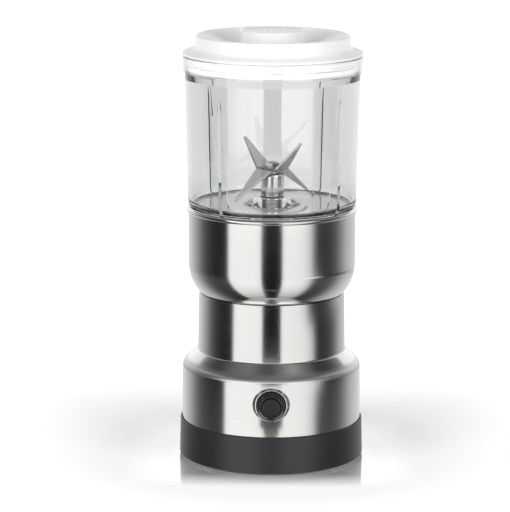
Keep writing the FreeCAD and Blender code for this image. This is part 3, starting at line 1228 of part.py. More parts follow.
def spindle_group():
    """Spindle with its collar, retaining ring, driven coupling, washer and nut."""
    collar_low = "post_top + collar_lift"
    nut_top = "nut_seat + blade_nut_height"
    body = new_body("blade_spindle")
    turn_solid(body, [
        ("0", "spindle_bottom"), ("spindle_radius", "spindle_bottom"),
        ("spindle_radius", collar_low), ("spindle_collar", collar_low),
        ("spindle_collar", "blade_seat"), ("stub_radius", "blade_seat"),
        ("stub_radius", nut_top), ("stub_radius - stub_proud", nut_top + " + stub_proud"),
        ("0", nut_top + " + stub_proud")])
    ring_top = "shank_bottom - ring_gap"
    ring("retaining_ring", "spindle_radius", "spindle_radius + ring_wall",
         ring_top + " - ring_height", ring_top)
    ring("blade_washer", "stub_radius", "stub_radius + washer_wall", "washer_seat", "nut_seat")
    body = new_body("blade_nut")
    sketch = new_sketch(body, "XY_Plane", lift="nut_seat")
    polygon(sketch, 6, "blade_nut_width")
    disc(sketch, "0", "0", "stub_radius")
    raise_solid(body, sketch, "blade_nut_height")
    body = new_body("driven_coupling")
    socket = "dog_root + dog_gap"
    turn_solid(body, [
        (socket, "driven_bottom"), ("driven_radius", "driven_bottom", "edge_round"),
        ("driven_radius", "driven_ceiling + cut_margin"), ("driven_hub", "driven_top", "edge_round"),
        ("spindle_radius", "driven_top"), ("spindle_radius", "spindle_bottom"),
        ("0", "spindle_bottom"), ("0", "driven_ceiling"), (socket, "driven_ceiling")])
    sketch = new_sketch(body, "XY_Plane", lift="driven_ceiling")
    rectangle(sketch, "dog_root - dog_width / 2", "-dog_width / 2 - dog_gap",
              "dog_reach + dog_gap", "dog_width / 2 + dog_gap")
    slot = cut_depth(body, sketch, "driven_ceiling - driven_bottom + cut_margin")
    repeat(body, slot, "dog_count")


def blade(name, turn, seat, reach, rise):
    """Stamped blade: a flat middle and two wings bent up or down, tapering to narrow tips."""
    body = new_body(name, turn=turn)
    slope = "atan((%s) / (%s - blade_bend))" % (rise, reach)
    fold = "blade_thickness * tan(%s / 2)" % slope
    side = "blade_thickness * sin(%s)" % slope
    lift = "blade_thickness * cos(%s)" % slope
    sketch = new_sketch(body, "XZ_Plane")
    outline(sketch, [
        ("-(%s)" % reach, "%s + %s" % (seat, rise)), ("-blade_bend", seat),
        ("blade_bend", seat), (reach, "%s + %s" % (seat, rise)),
        ("%s - %s" % (reach, side), "%s + %s + %s" % (seat, rise, lift)),
        ("blade_bend - " + fold, seat + " + blade_thickness"),
        ("-(blade_bend - %s)" % fold, seat + " + blade_thickness"),
        ("-(%s - %s)" % (reach, side), "%s + %s + %s" % (seat, rise, lift))])
    raise_solid(body, sketch, "blade_width + cut_margin", both_ways=True)
    sketch = new_sketch(body, "XY_Plane", lift=seat)
    far = "(%s + 3 * cut_margin)" % reach
    near = "(%s - cut_margin)" % reach
    past = "(%s + 2 * cut_margin)" % reach
    rectangle(sketch, "-" + far, "-blade_width", far, "blade_width")
    outline(sketch, [
        (past, "-blade_tip / 2"), (past, "blade_tip / 2"),
        (near, "blade_tip / 2"), ("blade_bend", "blade_width / 2"),
        ("-blade_bend", "blade_width / 2"), ("-" + near, "blade_tip / 2"),
        ("-" + past, "blade_tip / 2"), ("-" + past, "-blade_tip / 2"),
        ("-" + near, "-blade_tip / 2"), ("-blade_bend", "-blade_width / 2"),
        ("blade_bend", "-blade_width / 2"), (near, "-blade_tip / 2")])
    cut_through(body, sketch)
    sketch = new_sketch(body, "XY_Plane", lift=seat)
    disc(sketch, "0", "0", "stub_radius")
    cut_through(body, sketch)


def lid():
    """White moulded lid: domed flange, raised ring, recess with a boss and two side ramps."""
    body = new_body("lid")
    ring_in = "lid_ring_radius - lid_ring_wall"
    plug_in = "plug_radius - plug_wall"
    plug_low = "lid_seat - plug_depth"
    under = "lid_floor - lid_skin"
    boss_in = "lid_boss_radius - lid_boss_wall"
    dish = "lid_top - lid_dish"
    edge = "lid_seat + lid_flange_edge"
    crest = "lid_boss_radius - lid_crown"
    groove = "plug_radius - gasket_groove"
    turn_solid(body, [
        ("0", dish), (crest + " - lid_dish_slope", dish, "lid_ring_wall"),
        (crest, "lid_top", "edge_round"), ("lid_boss_radius", "lid_top", "edge_round"),
        ("lid_boss_radius + lid_draft", "lid_floor", "edge_round"),
        (ring_in + " - lid_draft", "lid_floor", "lid_round"), (ring_in, "lid_ring_top", "lid_round"),
        ("lid_ring_radius", "lid_ring_top", "lid_round"),
        ("lid_ring_radius + lid_draft", "lid_seat + lid_dome", "lid_round"),
        ("lid_flange_radius - lid_shoulder", edge + " + edge_round", "lid_round"),
        ("lid_flange_radius", edge, "edge_round"), ("lid_flange_radius", "lid_seat"),
        ("plug_radius", "lid_seat"), ("plug_radius", "groove_top"), (groove, "groove_top"),
        (groove, "groove_bottom"), ("plug_radius", "groove_bottom"),
        ("plug_radius", plug_low, "fine_round"), (plug_in, plug_low, "fine_round"),
        (plug_in, under, "lid_round"), (boss_in, under), (boss_in, dish + " - lid_skin", "lid_round"),
        ("0", dish + " - lid_skin")])
    top = "lid_ring_top - ramp_drop"
    outer = ring_in + " + lid_ring_wall / 3"
    ramp = turn_solid(body, [
        ("ramp_start", "lid_floor - merge"), (outer, "lid_floor - merge"), (outer, top),
        (ring_in + " - fine_round", top), ("ramp_start", top + " - ramp_fall")],
        sweep="2 * ramp_half_angle")
    repeat(body, ramp, "2")
    body = new_body("lid_gasket")
    low = "groove_bottom + seat_gap"
    high = "groove_top - seat_gap"
    lip = "collar_bore - gasket_squeeze"
    turn_solid(body, [
        (groove + " + seat_gap", low), (lip, low, "edge_round"), (lip, high, "edge_round"),
        (groove + " + seat_gap", high)])


base_shell()
bottom_cover()
headed_screws("cover_screws", on_circle("cover_screw_circle", "cover_screw_angle"), "cover_screw_count",
              ("cover_bottom + cover_screw_sink - fit_gap", "cover_top + cover_screw_length"),
              "cover_screw_radius",
              ("cover_bottom + fit_gap", "cover_bottom + cover_screw_sink"), "cover_screw_head")
rubber_feet()
cord_gland()
motor_housing()
headed_screws("tie_screws", ("0", "tie_circle"), "tie_count",
              ("deck_bottom - screw_gap", "tie_top"), "tie_radius",
              ("deck_bottom - tie_head_height", "deck_bottom"), "tie_head_radius")
mount_plate()
docking_bowl()
dock_cup()
headed_screws("bowl_screws", on_circle("bowl_screw_circle", "bowl_screw_angle"), "bowl_screw_count",
              ("mount_bottom + bowl_screw_short", "cup_floor_top + merge"), "bowl_screw_radius",
              ("cup_floor_top", "cup_floor_top + bowl_screw_head_height"), "bowl_screw_head")
ring("shaft_dust_seal", "motor_shaft_radius + fit_gap", "dust_seal_radius",
     "bowl_bottom - dust_seal_depth", "bowl_bottom - merge")
stator_core()
field_coils()
motor_brackets()
motor_bolts()
rotor()
brushes()
button_group()
jar()
jar_base()
bearing_post()
spindle_group()
blade("lower_blade", "lower_angle", "blade_seat", "lower_reach", "-lower_fall")
blade("upper_blade", "upper_angle", "upper_seat", "upper_reach", "upper_rise")
lid()

doc.recompute()
faults = []
for item in doc.Objects:
    if "Invalid" in item.State or "Error" in item.State:
        faults.append("%s is %s" % (item.Name, item.State))
for body in bodies:
    if body.Shape.isNull() or not body.Shape.isValid():
        faults.append(body.Label + " has no valid shape")
for before, feature in cuts:
    if feature.Shape.Volume >= before.Shape.Volume:
        faults.append(feature.Name + " cuts nothing")
if faults:
    raise RuntimeError("; ".join(faults))

os.makedirs("parts", exist_ok=True)
for body in bodies:
    body.Shape.exportStep("parts/%s.step" % body.Label)
print("%d nodes" % len(bodies))
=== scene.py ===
"""Electric spice grinder: steel housing and docking bowl, clear jar, white lid, push button.

Lengths in the outlines are millimetres in the grinder's own frame: +Z up, the button towards -Y.
"""

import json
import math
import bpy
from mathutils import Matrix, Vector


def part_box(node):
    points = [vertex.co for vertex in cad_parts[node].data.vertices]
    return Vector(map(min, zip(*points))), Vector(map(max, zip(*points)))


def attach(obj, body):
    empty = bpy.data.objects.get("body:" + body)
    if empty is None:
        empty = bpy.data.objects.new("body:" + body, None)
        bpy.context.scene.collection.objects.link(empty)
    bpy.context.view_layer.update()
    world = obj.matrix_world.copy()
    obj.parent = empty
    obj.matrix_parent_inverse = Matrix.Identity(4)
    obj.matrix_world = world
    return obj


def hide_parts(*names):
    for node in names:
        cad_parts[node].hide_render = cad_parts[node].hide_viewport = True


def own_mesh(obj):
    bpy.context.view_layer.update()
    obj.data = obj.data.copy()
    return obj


bl_info = {
    "name": "Spice Grinder",
    "version": (1, 0, 0),
    "blender": (4, 5, 0),
    "location": "View3D > Sidebar > Grinder",
    "description": "Dresses an electric spice grinder: spun steel, clear jar, moulded lid and base",
    "category": "Object",
}

import bpy
from bpy.props import FloatProperty, FloatVectorProperty, IntProperty, PointerProperty
from mathutils import Vector

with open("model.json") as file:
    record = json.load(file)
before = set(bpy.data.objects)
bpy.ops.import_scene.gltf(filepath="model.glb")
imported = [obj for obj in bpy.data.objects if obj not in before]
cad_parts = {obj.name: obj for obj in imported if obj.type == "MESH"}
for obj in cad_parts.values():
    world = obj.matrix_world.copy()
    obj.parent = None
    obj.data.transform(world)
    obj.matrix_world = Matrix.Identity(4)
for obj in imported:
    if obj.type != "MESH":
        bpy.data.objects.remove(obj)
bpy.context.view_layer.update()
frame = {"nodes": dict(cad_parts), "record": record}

MM = 0.001
FULL_TURN = 2 * math.pi


def linear(code):
    """A linear colour from an sRGB hex value."""
    parts = [int(code[i:i + 2], 16) / 255 for i in (1, 3, 5)]
    return tuple(part / 12.92 if part <= 0.04045 else ((part + 0.055) / 1.055) ** 2.4 for part in parts)


def node_box(node):
    """Lowest and highest corner of a CAD node, in millimetres."""
    low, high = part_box(node)
    return low / MM, high / MM


BASE_LOW, BASE_HIGH = node_box("base_shell")
HOUSING_LOW, HOUSING_HIGH = node_box("motor_housing")
BOWL_LOW, BOWL_HIGH = node_box("docking_bowl")
JAR_LOW, JAR_HIGH = node_box("jar")
LID_LOW, LID_HIGH = node_box("lid")
BUTTON_LOW, BUTTON_HIGH = node_box("push_button")
BEZEL_LOW, BEZEL_HIGH = node_box("button_bezel")
POST_LOW, POST_HIGH = node_box("bearing_post")
BUTTON_AXIS = (BUTTON_LOW.z + BUTTON_HIGH.z) / 2


# Settings


def length(name, description, millimetres):
    """A length setting, kept in metres."""
    return FloatProperty(name=name, description=description, default=millimetres * MM,
                         min=0.0, precision=5, unit="LENGTH")


def colour(name, description, code):
    """A colour setting from an sRGB hex value."""
    return FloatVectorProperty(name=name, description=description, default=linear(code),
                               size=3, min=0.0, max=1.0, subtype="COLOR")


class GrinderSteel(bpy.types.PropertyGroup):
    """Steel housing and docking bowl"""

    skin: length("Skin", "Sheet steel thickness", 0.7)
    body_radius: length("Body radius", "Steel housing at its shoulder", 51.7)
    body_height: length("Body height", "Steel housing below its shoulder", 36.6)
    shoulder_height: length("Shoulder", "Height of the sloping shoulder", 7.7)
    neck_radius: length("Neck radius", "Neck at its foot", 42.9)
    bowl_radius: length("Bowl radius", "Bowl's upright side", BOWL_HIGH.x - 1.5)
    bowl_foot: length("Bowl foot", "Radius of the bowl's flat floor", 41.0)
    bowl_round: length("Bowl round", "Bend from the bowl's underside to its side", 24.6)
    rim_tube: length("Rim tube", "Radius of the rolled rim's section", 1.7)
    tint: colour("Steel", "Colour of the stainless steel", "#e4e3e1")
    scratch_pitch: length("Scratch pitch", "Width of a brush mark, coarse enough to show", 0.35)


class GrinderJar(bpy.types.PropertyGroup):
    """Clear jar with its ribs"""

    wall: length("Wall", "Jar wall", 2.0)
    foot_radius: length("Foot radius", "Jar at its shoulder", JAR_HIGH.x - 3.2)
    top_radius: length("Top radius", "Jar under its collar", JAR_HIGH.x - 1.2)
    collar_height: length("Collar", "Height of the collar", 9.5)
    collar_bore: length("Collar bore", "Inside of the collar", JAR_HIGH.x - 2.05)
    rib_depth: length("Rib depth", "Inward reach of a rib at the floor", 6.0)
    rib_width: length("Rib width", "Width of a rib", 2.0)
    rib_height: length("Rib height", "Rib above the floor", 65.2)
    rib_count: IntProperty(name="Ribs", description="Inner ribs", default=4, min=1)
    rib_turn: FloatProperty(name="First rib", description="First rib from +X",
                            default=math.radians(52), subtype="ANGLE")
    tint: colour("Plastic", "Tint of the clear plastic", "#fafbfb")


class GrinderLid(bpy.types.PropertyGroup):
    """White lid"""

    ring_radius: length("Ring radius", "Raised ring, outside", LID_HIGH.x - 7.4)
    ring_wall: length("Ring wall", "Raised ring", 3.0)
    recess: length("Recess", "Recess below the ring's top", 8.8)
    boss_radius: length("Boss radius", "Round boss", 18.8)
    dish: length("Dish", "Hollow in the top of the boss", 0.8)
    ramp_half_angle: FloatProperty(name="Ramp", description="Half the angle of a side ramp",
                                   default=math.radians(26), subtype="ANGLE")
    ramp_start: length("Ramp start", "Inner end of a side ramp", 25.5)
    ramp_fall: length("Ramp fall", "Fall of a side ramp towards the boss", 5.2)
    tint: colour("White", "Colour of the white moulding", "#f2f2f3")


class GrinderButton(bpy.types.PropertyGroup):
    """Push button, its bezel, spring and steel lip"""

    bore: length("Bezel bore", "Bezel's front bore", 5.55)
    front_radius: length("Bezel front", "Bezel at its front", 6.45)
    lip_wall: length("Lip", "Width of the steel lip", 1.0)
    lip_flare: length("Lip flare", "How much wider the steel lip is at the housing", 1.7)
    travel: length("Travel", "Button's travel, which shortens its spring", 2.5)
    wire: length("Wire", "Wire of the button's spring", 0.45)
    turns: IntProperty(name="Turns", description="Turns of the button's spring", default=4, min=1)
    tint: colour("Black", "Colour of the button's moulding", "#1b1b1c")


class GrinderBlades(bpy.types.PropertyGroup):
    """Lower and upper blade"""

    sheet: length("Sheet", "Blade thickness", 1.2)
    width: length("Width", "Blade at its bend", 12.0)
    tip: length("Tip", "Blade at its tip", 1.6)
    bend: length("Bend", "Axis to the bend", 7.0)
    upper_reach: length("Upper reach", "Axis to the tip of the upper blade", 20.8)
    upper_rise: length("Upper rise", "Rise of the upper wings", 16.0)
    upper_turn: FloatProperty(name="Upper turn", description="Upper blade from +X",
                              default=math.radians(-37), subtype="ANGLE")
    lower_reach: length("Lower reach", "Axis to the tip of the lower blade", 28.0)
    lower_fall: length("Lower fall", "Fall of the lower wings", 15.0)
    lower_turn: FloatProperty(name="Lower turn", description="Lower blade from +X",
                              default=math.radians(43), subtype="ANGLE")


class GrinderStage(bpy.types.PropertyGroup):
    """Camera"""

    distance: length("Distance", "Camera in front of the grinder", 1570.0)
    height: length("Height", "Camera above the surface", 432.8)
    tilt: FloatProperty(name="Tilt", description="Camera below the horizon",
                        default=math.radians(11.351), subtype="ANGLE")
    turn: FloatProperty(name="Turn", description="Camera to the left of the grinder",
                        default=math.radians(0.358), subtype="ANGLE")
    roll: FloatProperty(name="Roll", description="Camera about its own view",
                        default=math.radians(0.204), subtype="ANGLE")
    focal_length: FloatProperty(name="Focal length", description="Lens on a 36 mm sensor, in millimetres",
                                default=193.6, min=1.0)


# Modelling


def clear_selection():
    """Leave edit mode with nothing selected."""
    if bpy.context.mode != "OBJECT":
        bpy.ops.object.mode_set(mode="OBJECT")
    bpy.ops.object.select_all(action="DESELECT")


def take(piece):
    """Make a piece the only selected and active object."""
    clear_selection()
    piece.select_set(True)
    bpy.context.view_layer.objects.active = piece


def name_piece(name):
    """Name the object that was just made, and its mesh."""
    piece = bpy.context.object
    piece.name = name
    piece.data.name = name
    return piece


def arc(centre, radius, start, end, steps):
    """Corners along an arc, in millimetres and degrees."""
    turns = [math.radians(start + (end - start) * i / steps) for i in range(steps + 1)]
    return [(centre[0] + radius * math.cos(turn), centre[1] + radius * math.sin(turn)) for turn in turns]


def rounded(corners):
    """Outline points in millimetres; a corner's third value is the radius that rounds it."""
    step_angle = 9.0
    points = []
    count = len(corners)
    for i, corner in enumerate(corners):
        here = Vector(corner[:2])
        radius = corner[2] if len(corner) > 2 else 0.0
        if not radius:
            points.append(here)
            continue
        back = (Vector(corners[i - 1][:2]) - here).normalized()
        ahead = (Vector(corners[(i + 1) % count][:2]) - here).normalized()
        half = back.angle(ahead) / 2
        centre = here + (back + ahead).normalized() * radius / math.sin(half)
        first = here + back * radius / math.tan(half) - centre
        turn = math.pi - 2 * half
        if first.x * (here - centre).y - first.y * (here - centre).x < 0:
            turn = -turn
        steps = max(3, round(abs(math.degrees(turn)) / step_angle))
        for k in range(steps + 1):
            angle = turn * k / steps
            points.append(centre + Vector((first.x * math.cos(angle) - first.y * math.sin(angle),
                                           first.x * math.sin(angle) + first.y * math.cos(angle))))
    return points


def draw_outline(name, places):
    """A wire through places in metres, drawn by extruding one point along them."""
    clear_selection()
    bpy.ops.mesh.primitive_plane_add(size=MM, location=places[0])
    piece = name_piece(name)
    bpy.ops.object.transform_apply(location=True, rotation=True, scale=True)
    bpy.ops.object.mode_set(mode="EDIT")
    bpy.ops.mesh.select_mode(type="VERT")
    bpy.ops.mesh.select_all(action="SELECT")
    bpy.ops.mesh.merge(type="CENTER")
    for here, there in zip(places, places[1:]):
        bpy.ops.mesh.extrude_region_move(TRANSFORM_OT_translate={"value": there - here})
    bpy.ops.mesh.select_all(action="SELECT")
    bpy.ops.mesh.remove_doubles(threshold=0.001 * MM)
    return piece


def tidy_skin():
    """Merge doubles and turn all faces outwards, in edit mode."""
    bpy.ops.mesh.select_all(action="SELECT")
    bpy.ops.mesh.remove_doubles(threshold=0.002 * MM)
    bpy.ops.mesh.normals_make_consistent(inside=False)
    bpy.ops.object.mode_set(mode="OBJECT")


def apply_modifier(piece, kind, **settings):
    """Add a modifier with its settings to the active piece, and apply it."""
    bpy.ops.object.modifier_add(type=kind)
    modifier = piece.modifiers[-1]
    for name, value in settings.items():
        setattr(modifier, name, value)
    bpy.ops.object.modifier_apply(modifier=modifier.name)


def smooth(piece, angle):
    """Smooth shading that keeps hard edges, with flat faces kept flat."""
    take(piece)
    bpy.ops.object.shade_smooth_by_angle(angle=math.radians(angle))
    apply_modifier(piece, "WEIGHTED_NORMAL", keep_sharp=True)


def lathe(name, corners, steps, along_y=None, open_ends=False, angle=FULL_TURN, start=0.0):
    """Spin a half section about Z, or about a line along Y at the height along_y.

    An outline with open ends starts and stops on the axis.
    """
    points = rounded(corners)
    if not open_ends:
        points.append(points[0])
    if along_y is None:
        places = [Vector((p.x * math.cos(start), p.x * math.sin(start), p.y)) * MM for p in points]
        centre, axis = (0, 0, 0), (0, 0, 1)
    else:
        places = [Vector((p.x, p.y, along_y)) * MM for p in points]
        centre, axis = (0, 0, along_y * MM), (0, 1, 0)
    piece = draw_outline(name, places)
    bpy.ops.mesh.spin(steps=steps, angle=angle, center=centre, axis=axis)
    tidy_skin()
    return piece


def close_ends(piece):
    """Fill both flat ends of a part turn or of a wire."""
    take(piece)
    bpy.ops.object.mode_set(mode="EDIT")
    bpy.ops.mesh.select_mode(type="EDGE")
    bpy.ops.mesh.select_all(action="DESELECT")
    bpy.ops.mesh.select_non_manifold()
    bpy.ops.mesh.edge_face_add()
    tidy_skin()


def combine(piece, other, operation):
    """Join another solid to a piece, cut it out or keep what both share, and use it up."""
    take(piece)
    apply_modifier(piece, "BOOLEAN", operation=operation, solver="EXACT", object=other)
    bpy.data.objects.remove(other)


def finish_piece(piece, material, body, nodes=(), angle=32.0):
    """Shade a piece, give it its material and its body, and let it stand for CAD nodes."""
    smooth(piece, angle)
    piece.data.materials.clear()
    piece.data.materials.append(material)
    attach(piece, body)
    if nodes:
        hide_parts(*nodes)


# Materials


WHITE = (1.0, 1.0, 1.0, 1.0)
# Level of the plain white that is seen straight through the jar
THROUGH_JAR = 0.78


def add_node(tree, kind, inputs=None, **settings):
    """Add a node with its settings; inputs are values or links, by socket name or number."""
    node = tree.nodes.new(kind)
    for name, value in settings.items():
        setattr(node, name, value)
    for name, value in (inputs or {}).items():
        if isinstance(value, bpy.types.NodeSocket):
            tree.links.new(value, node.inputs[name])
        else:
            node.inputs[name].default_value = value
    return node


def new_material(name):
    """An empty material and its node tree."""
    material = bpy.data.materials.new(name)
    material.use_nodes = True
    material.node_tree.nodes.clear()
    return material, material.node_tree


def show(tree, shader):
    """Send a shader to the material's output."""
    add_node(tree, "ShaderNodeOutputMaterial", {"Surface": shader})


def show_surface(tree, inputs):
    """Show the principled shader with these inputs."""
    show(tree, add_node(tree, "ShaderNodeBsdfPrincipled", inputs).outputs["BSDF"])


def object_place(tree):
    """Link to a point's place in its object's own frame, in metres."""
    return add_node(tree, "ShaderNodeTexCoord").outputs["Object"]


def axes_of(tree, place):
    """Links to the X, Y and Z of a place."""
    return add_node(tree, "ShaderNodeSeparateXYZ", {"Vector": place}).outputs


def map_range(tree, value, start, end, low=0.0, high=1.0):
    """Link that goes from low to high as a value goes from start to end, and not beyond."""
    return add_node(tree, "ShaderNodeMapRange", {
        "Value": value, "From Min": start, "From Max": end, "To Min": low, "To Max": high}).outputs["Result"]


def calculate(tree, operation, first, second=0.0):
    """Link to the result of one operation on one or two numbers."""
    return add_node(tree, "ShaderNodeMath", {0: first, 1: second}, operation=operation).outputs[0]


def scaled(tree, tone, factor):
    """Link to a colour times a factor."""
    return add_node(tree, "ShaderNodeVectorMath", {0: tone, "Scale": factor},
                    operation="SCALE").outputs["Vector"]


def noise(tree, place, scale, detail, roughness=0.5):
    """Link to a noise that is read at a place."""
    return add_node(tree, "ShaderNodeTexNoise", {
        "Vector": place, "Scale": scale, "Detail": detail, "Roughness": roughness}).outputs["Fac"]


def spread(tree, marks, low, high):
    """Link to a noise whose middle range is spread from low to high."""
    return map_range(tree, marks, 0.3, 0.7, low, high)


def bumped(tree, height, strength, relief):
    """Link to normals tilted by a height whose full relief is given in millimetres."""
    return add_node(tree, "ShaderNodeBump", {
        "Height": height, "Strength": strength, "Distance": relief * MM}).outputs["Normal"]


def light(tree, tone, strength):
    """A shader that only shines."""
    return add_node(tree, "ShaderNodeEmission", {"Color": tone, "Strength": strength}).outputs[0]


def mixed(tree, share, first, second):
    """The first shader, with a share of the second."""
    return add_node(tree, "ShaderNodeMixShader", {0: share, 1: first, 2: second}).outputs[0]


def spun_stainless(name, tint, pitch, dull_low, dull_high):
    """Stainless steel brushed on a lathe: fine marks run round the axis, so highlights smear up and down.

    Between two heights in millimetres, where the sheet was bent, the finish is duller.
    """
    material, tree = new_material(name)
    place = object_place(tree)
    roughness, duller = 0.12, 0.2
    along, across = 18.0, 1.0 / pitch
    stretched = add_node(tree, "ShaderNodeMapping", {"Vector": place, "Scale": (along, along, across)})
    fine = noise(tree, stretched.outputs["Vector"], 1.0, 5.0, 0.7)
    clouds = noise(tree, place, 22.0, 2.0)
    up = axes_of(tree, place)["Z"]
    band = map_range(tree, up, dull_low * MM, (dull_low + 1) * MM, 0.0, duller)
    band = map_range(tree, up, dull_high * MM, (dull_high + 2) * MM, band, 0.0)
    rough = spread(tree, clouds, roughness * 0.85, roughness * 1.15)
    round_axis = add_node(tree, "ShaderNodeTangent", direction_type="RADIAL", axis="Z")
    show_surface(tree, {
        "Base Color": scaled(tree, tint, spread(tree, fine, 0.93, 1.0)), "Metallic": 1.0,
        "Roughness": calculate(tree, "ADD", rough, band), "Anisotropic": 0.65,
        "Tangent": round_axis.outputs["Tangent"], "Normal": bumped(tree, fine, 0.12, 0.02)})
    return material


def moulded_plastic(name, tint, roughness, grain=0.6, relief=0.01, coat=0.0):
    """Injection-moulded ABS: a faint grain from the mould and slightly uneven gloss."""
    material, tree = new_material(name)
    place = object_place(tree)
    skin = noise(tree, place, 1.0 / (grain * MM), 3.0, 0.55)
    flow = noise(tree, place, 30.0, 2.0)
    show_surface(tree, {
        "Base Color": scaled(tree, tint, spread(tree, flow, 0.97, 1.0)),
        "Roughness": spread(tree, skin, roughness * 0.88, roughness * 1.12), "IOR": 1.53,
        "Coat Weight": coat, "Normal": bumped(tree, skin, 0.25, relief)})
    return material


def clear_plastic(name, tint):
    """Clear moulded styrene plastic: sharp reflections, a trace of waviness in the wall."""
    material, tree = new_material(name)
    waves = noise(tree, object_place(tree), 40.0, 1.0)
    show_surface(tree, {
        "Base Color": (*tint, 1.0), "Roughness": spread(tree, waves, 0.0, 0.025), "IOR": 1.57,
        "Transmission Weight": 1.0, "Normal": bumped(tree, waves, 0.08, 0.2)})
    return material


def plain_metal(name, tint, roughness, grain):
    """Turned, plated or cast metal: an even colour broken by fine tool or casting marks."""
    material, tree = new_material(name)
    marks = noise(tree, object_place(tree), 1.0 / (grain * MM), 4.0, 0.6)
    show_surface(tree, {
        "Base Color": scaled(tree, tint, spread(tree, marks, 0.86, 1.0)), "Metallic": 1.0,
        "Roughness": spread(tree, marks, roughness * 0.8, roughness * 1.2),
        "Normal": bumped(tree, marks, 0.2, 0.01)})
    return material


# Finishes of the carried-over CAD nodes, by the record's slot: (kind, sRGB colour, roughness, grain in mm)
CAD_FINISHES = {
    "black_moulding": (moulded_plastic, "#222224", 0.42, 0.5),
    "cup_moulding": (moulded_plastic, "#29292b", 0.45, 0.5),
    "grey_moulding": (moulded_plastic, "#bcbcbe", 0.45, 0.5),
    "plunger_moulding": (moulded_plastic, "#a83a30", 0.4, 0.5),
    "switch_moulding": (moulded_plastic, "#2c2c2e", 0.45, 0.5),
    "fan_moulding": (moulded_plastic, "#dcdad2", 0.45, 0.6),
    "coupling_moulding": (moulded_plastic, "#242426", 0.38, 0.6),
    "white_gasket": (moulded_plastic, "#e6e6e4", 0.6, 0.8),
    "foot_rubber": (moulded_plastic, "#1d1d1e", 0.85, 0.35),
    "gland_rubber": (moulded_plastic, "#202021", 0.75, 0.4),
    "seal_rubber": (moulded_plastic, "#242425", 0.7, 0.4),
    "blade_steel": (plain_metal, "#b9b8b6", 0.26, 0.5),
    "bracket_metal": (plain_metal, "#b4b6b8", 0.45, 0.7),
    "turned_steel": (plain_metal, "#c9c8c6", 0.22, 0.3),
    "zinc_steel": (plain_metal, "#c4c8cc", 0.32, 0.5),
    "spring_steel": (plain_metal, "#b8b8ba", 0.25, 0.2),
    "lamination": (plain_metal, "#7c7d80", 0.5, 0.5),
    "copper_winding": (plain_metal, "#b5683c", 0.35, 0.4),
    "copper_segments": (plain_metal, "#c67a50", 0.3, 0.4),
    "bearing_bronze": (plain_metal, "#a98552", 0.4, 0.3),
    "brass_part": (plain_metal, "#cdae62", 0.3, 0.5),
    "carbon": (plain_metal, "#3a3a3d", 0.6, 0.3),
}


# Pieces


class GRINDER_OT_base(bpy.types.Operator):
    """Moulded black base ring under the steel housing"""

    bl_idname = "grinder.base"
    bl_label = "Base"

    def execute(self, context):
        wall, draft, vent = 2.5, 0.5, 22.0
        deck = HOUSING_LOW.z - 0.05
        lip = HOUSING_HIGH.x + 0.2
        outer = BASE_HIGH.x + 0.11
        shell = lathe("moulded_base", [
            (outer - wall, BASE_LOW.z), (outer, BASE_LOW.z, 0.35), (outer - draft, BASE_HIGH.z, 0.4),
            (lip, BASE_HIGH.z, 0.1), (lip, deck), (vent, deck), (vent, deck - wall),
            (outer - wall, deck - wall)], steps=160)
        material = moulded_plastic("black_abs", linear("#28282a"), 0.38, grain=0.5)
        finish_piece(shell, material, "base", ["base_shell"])
        return {"FINISHED"}


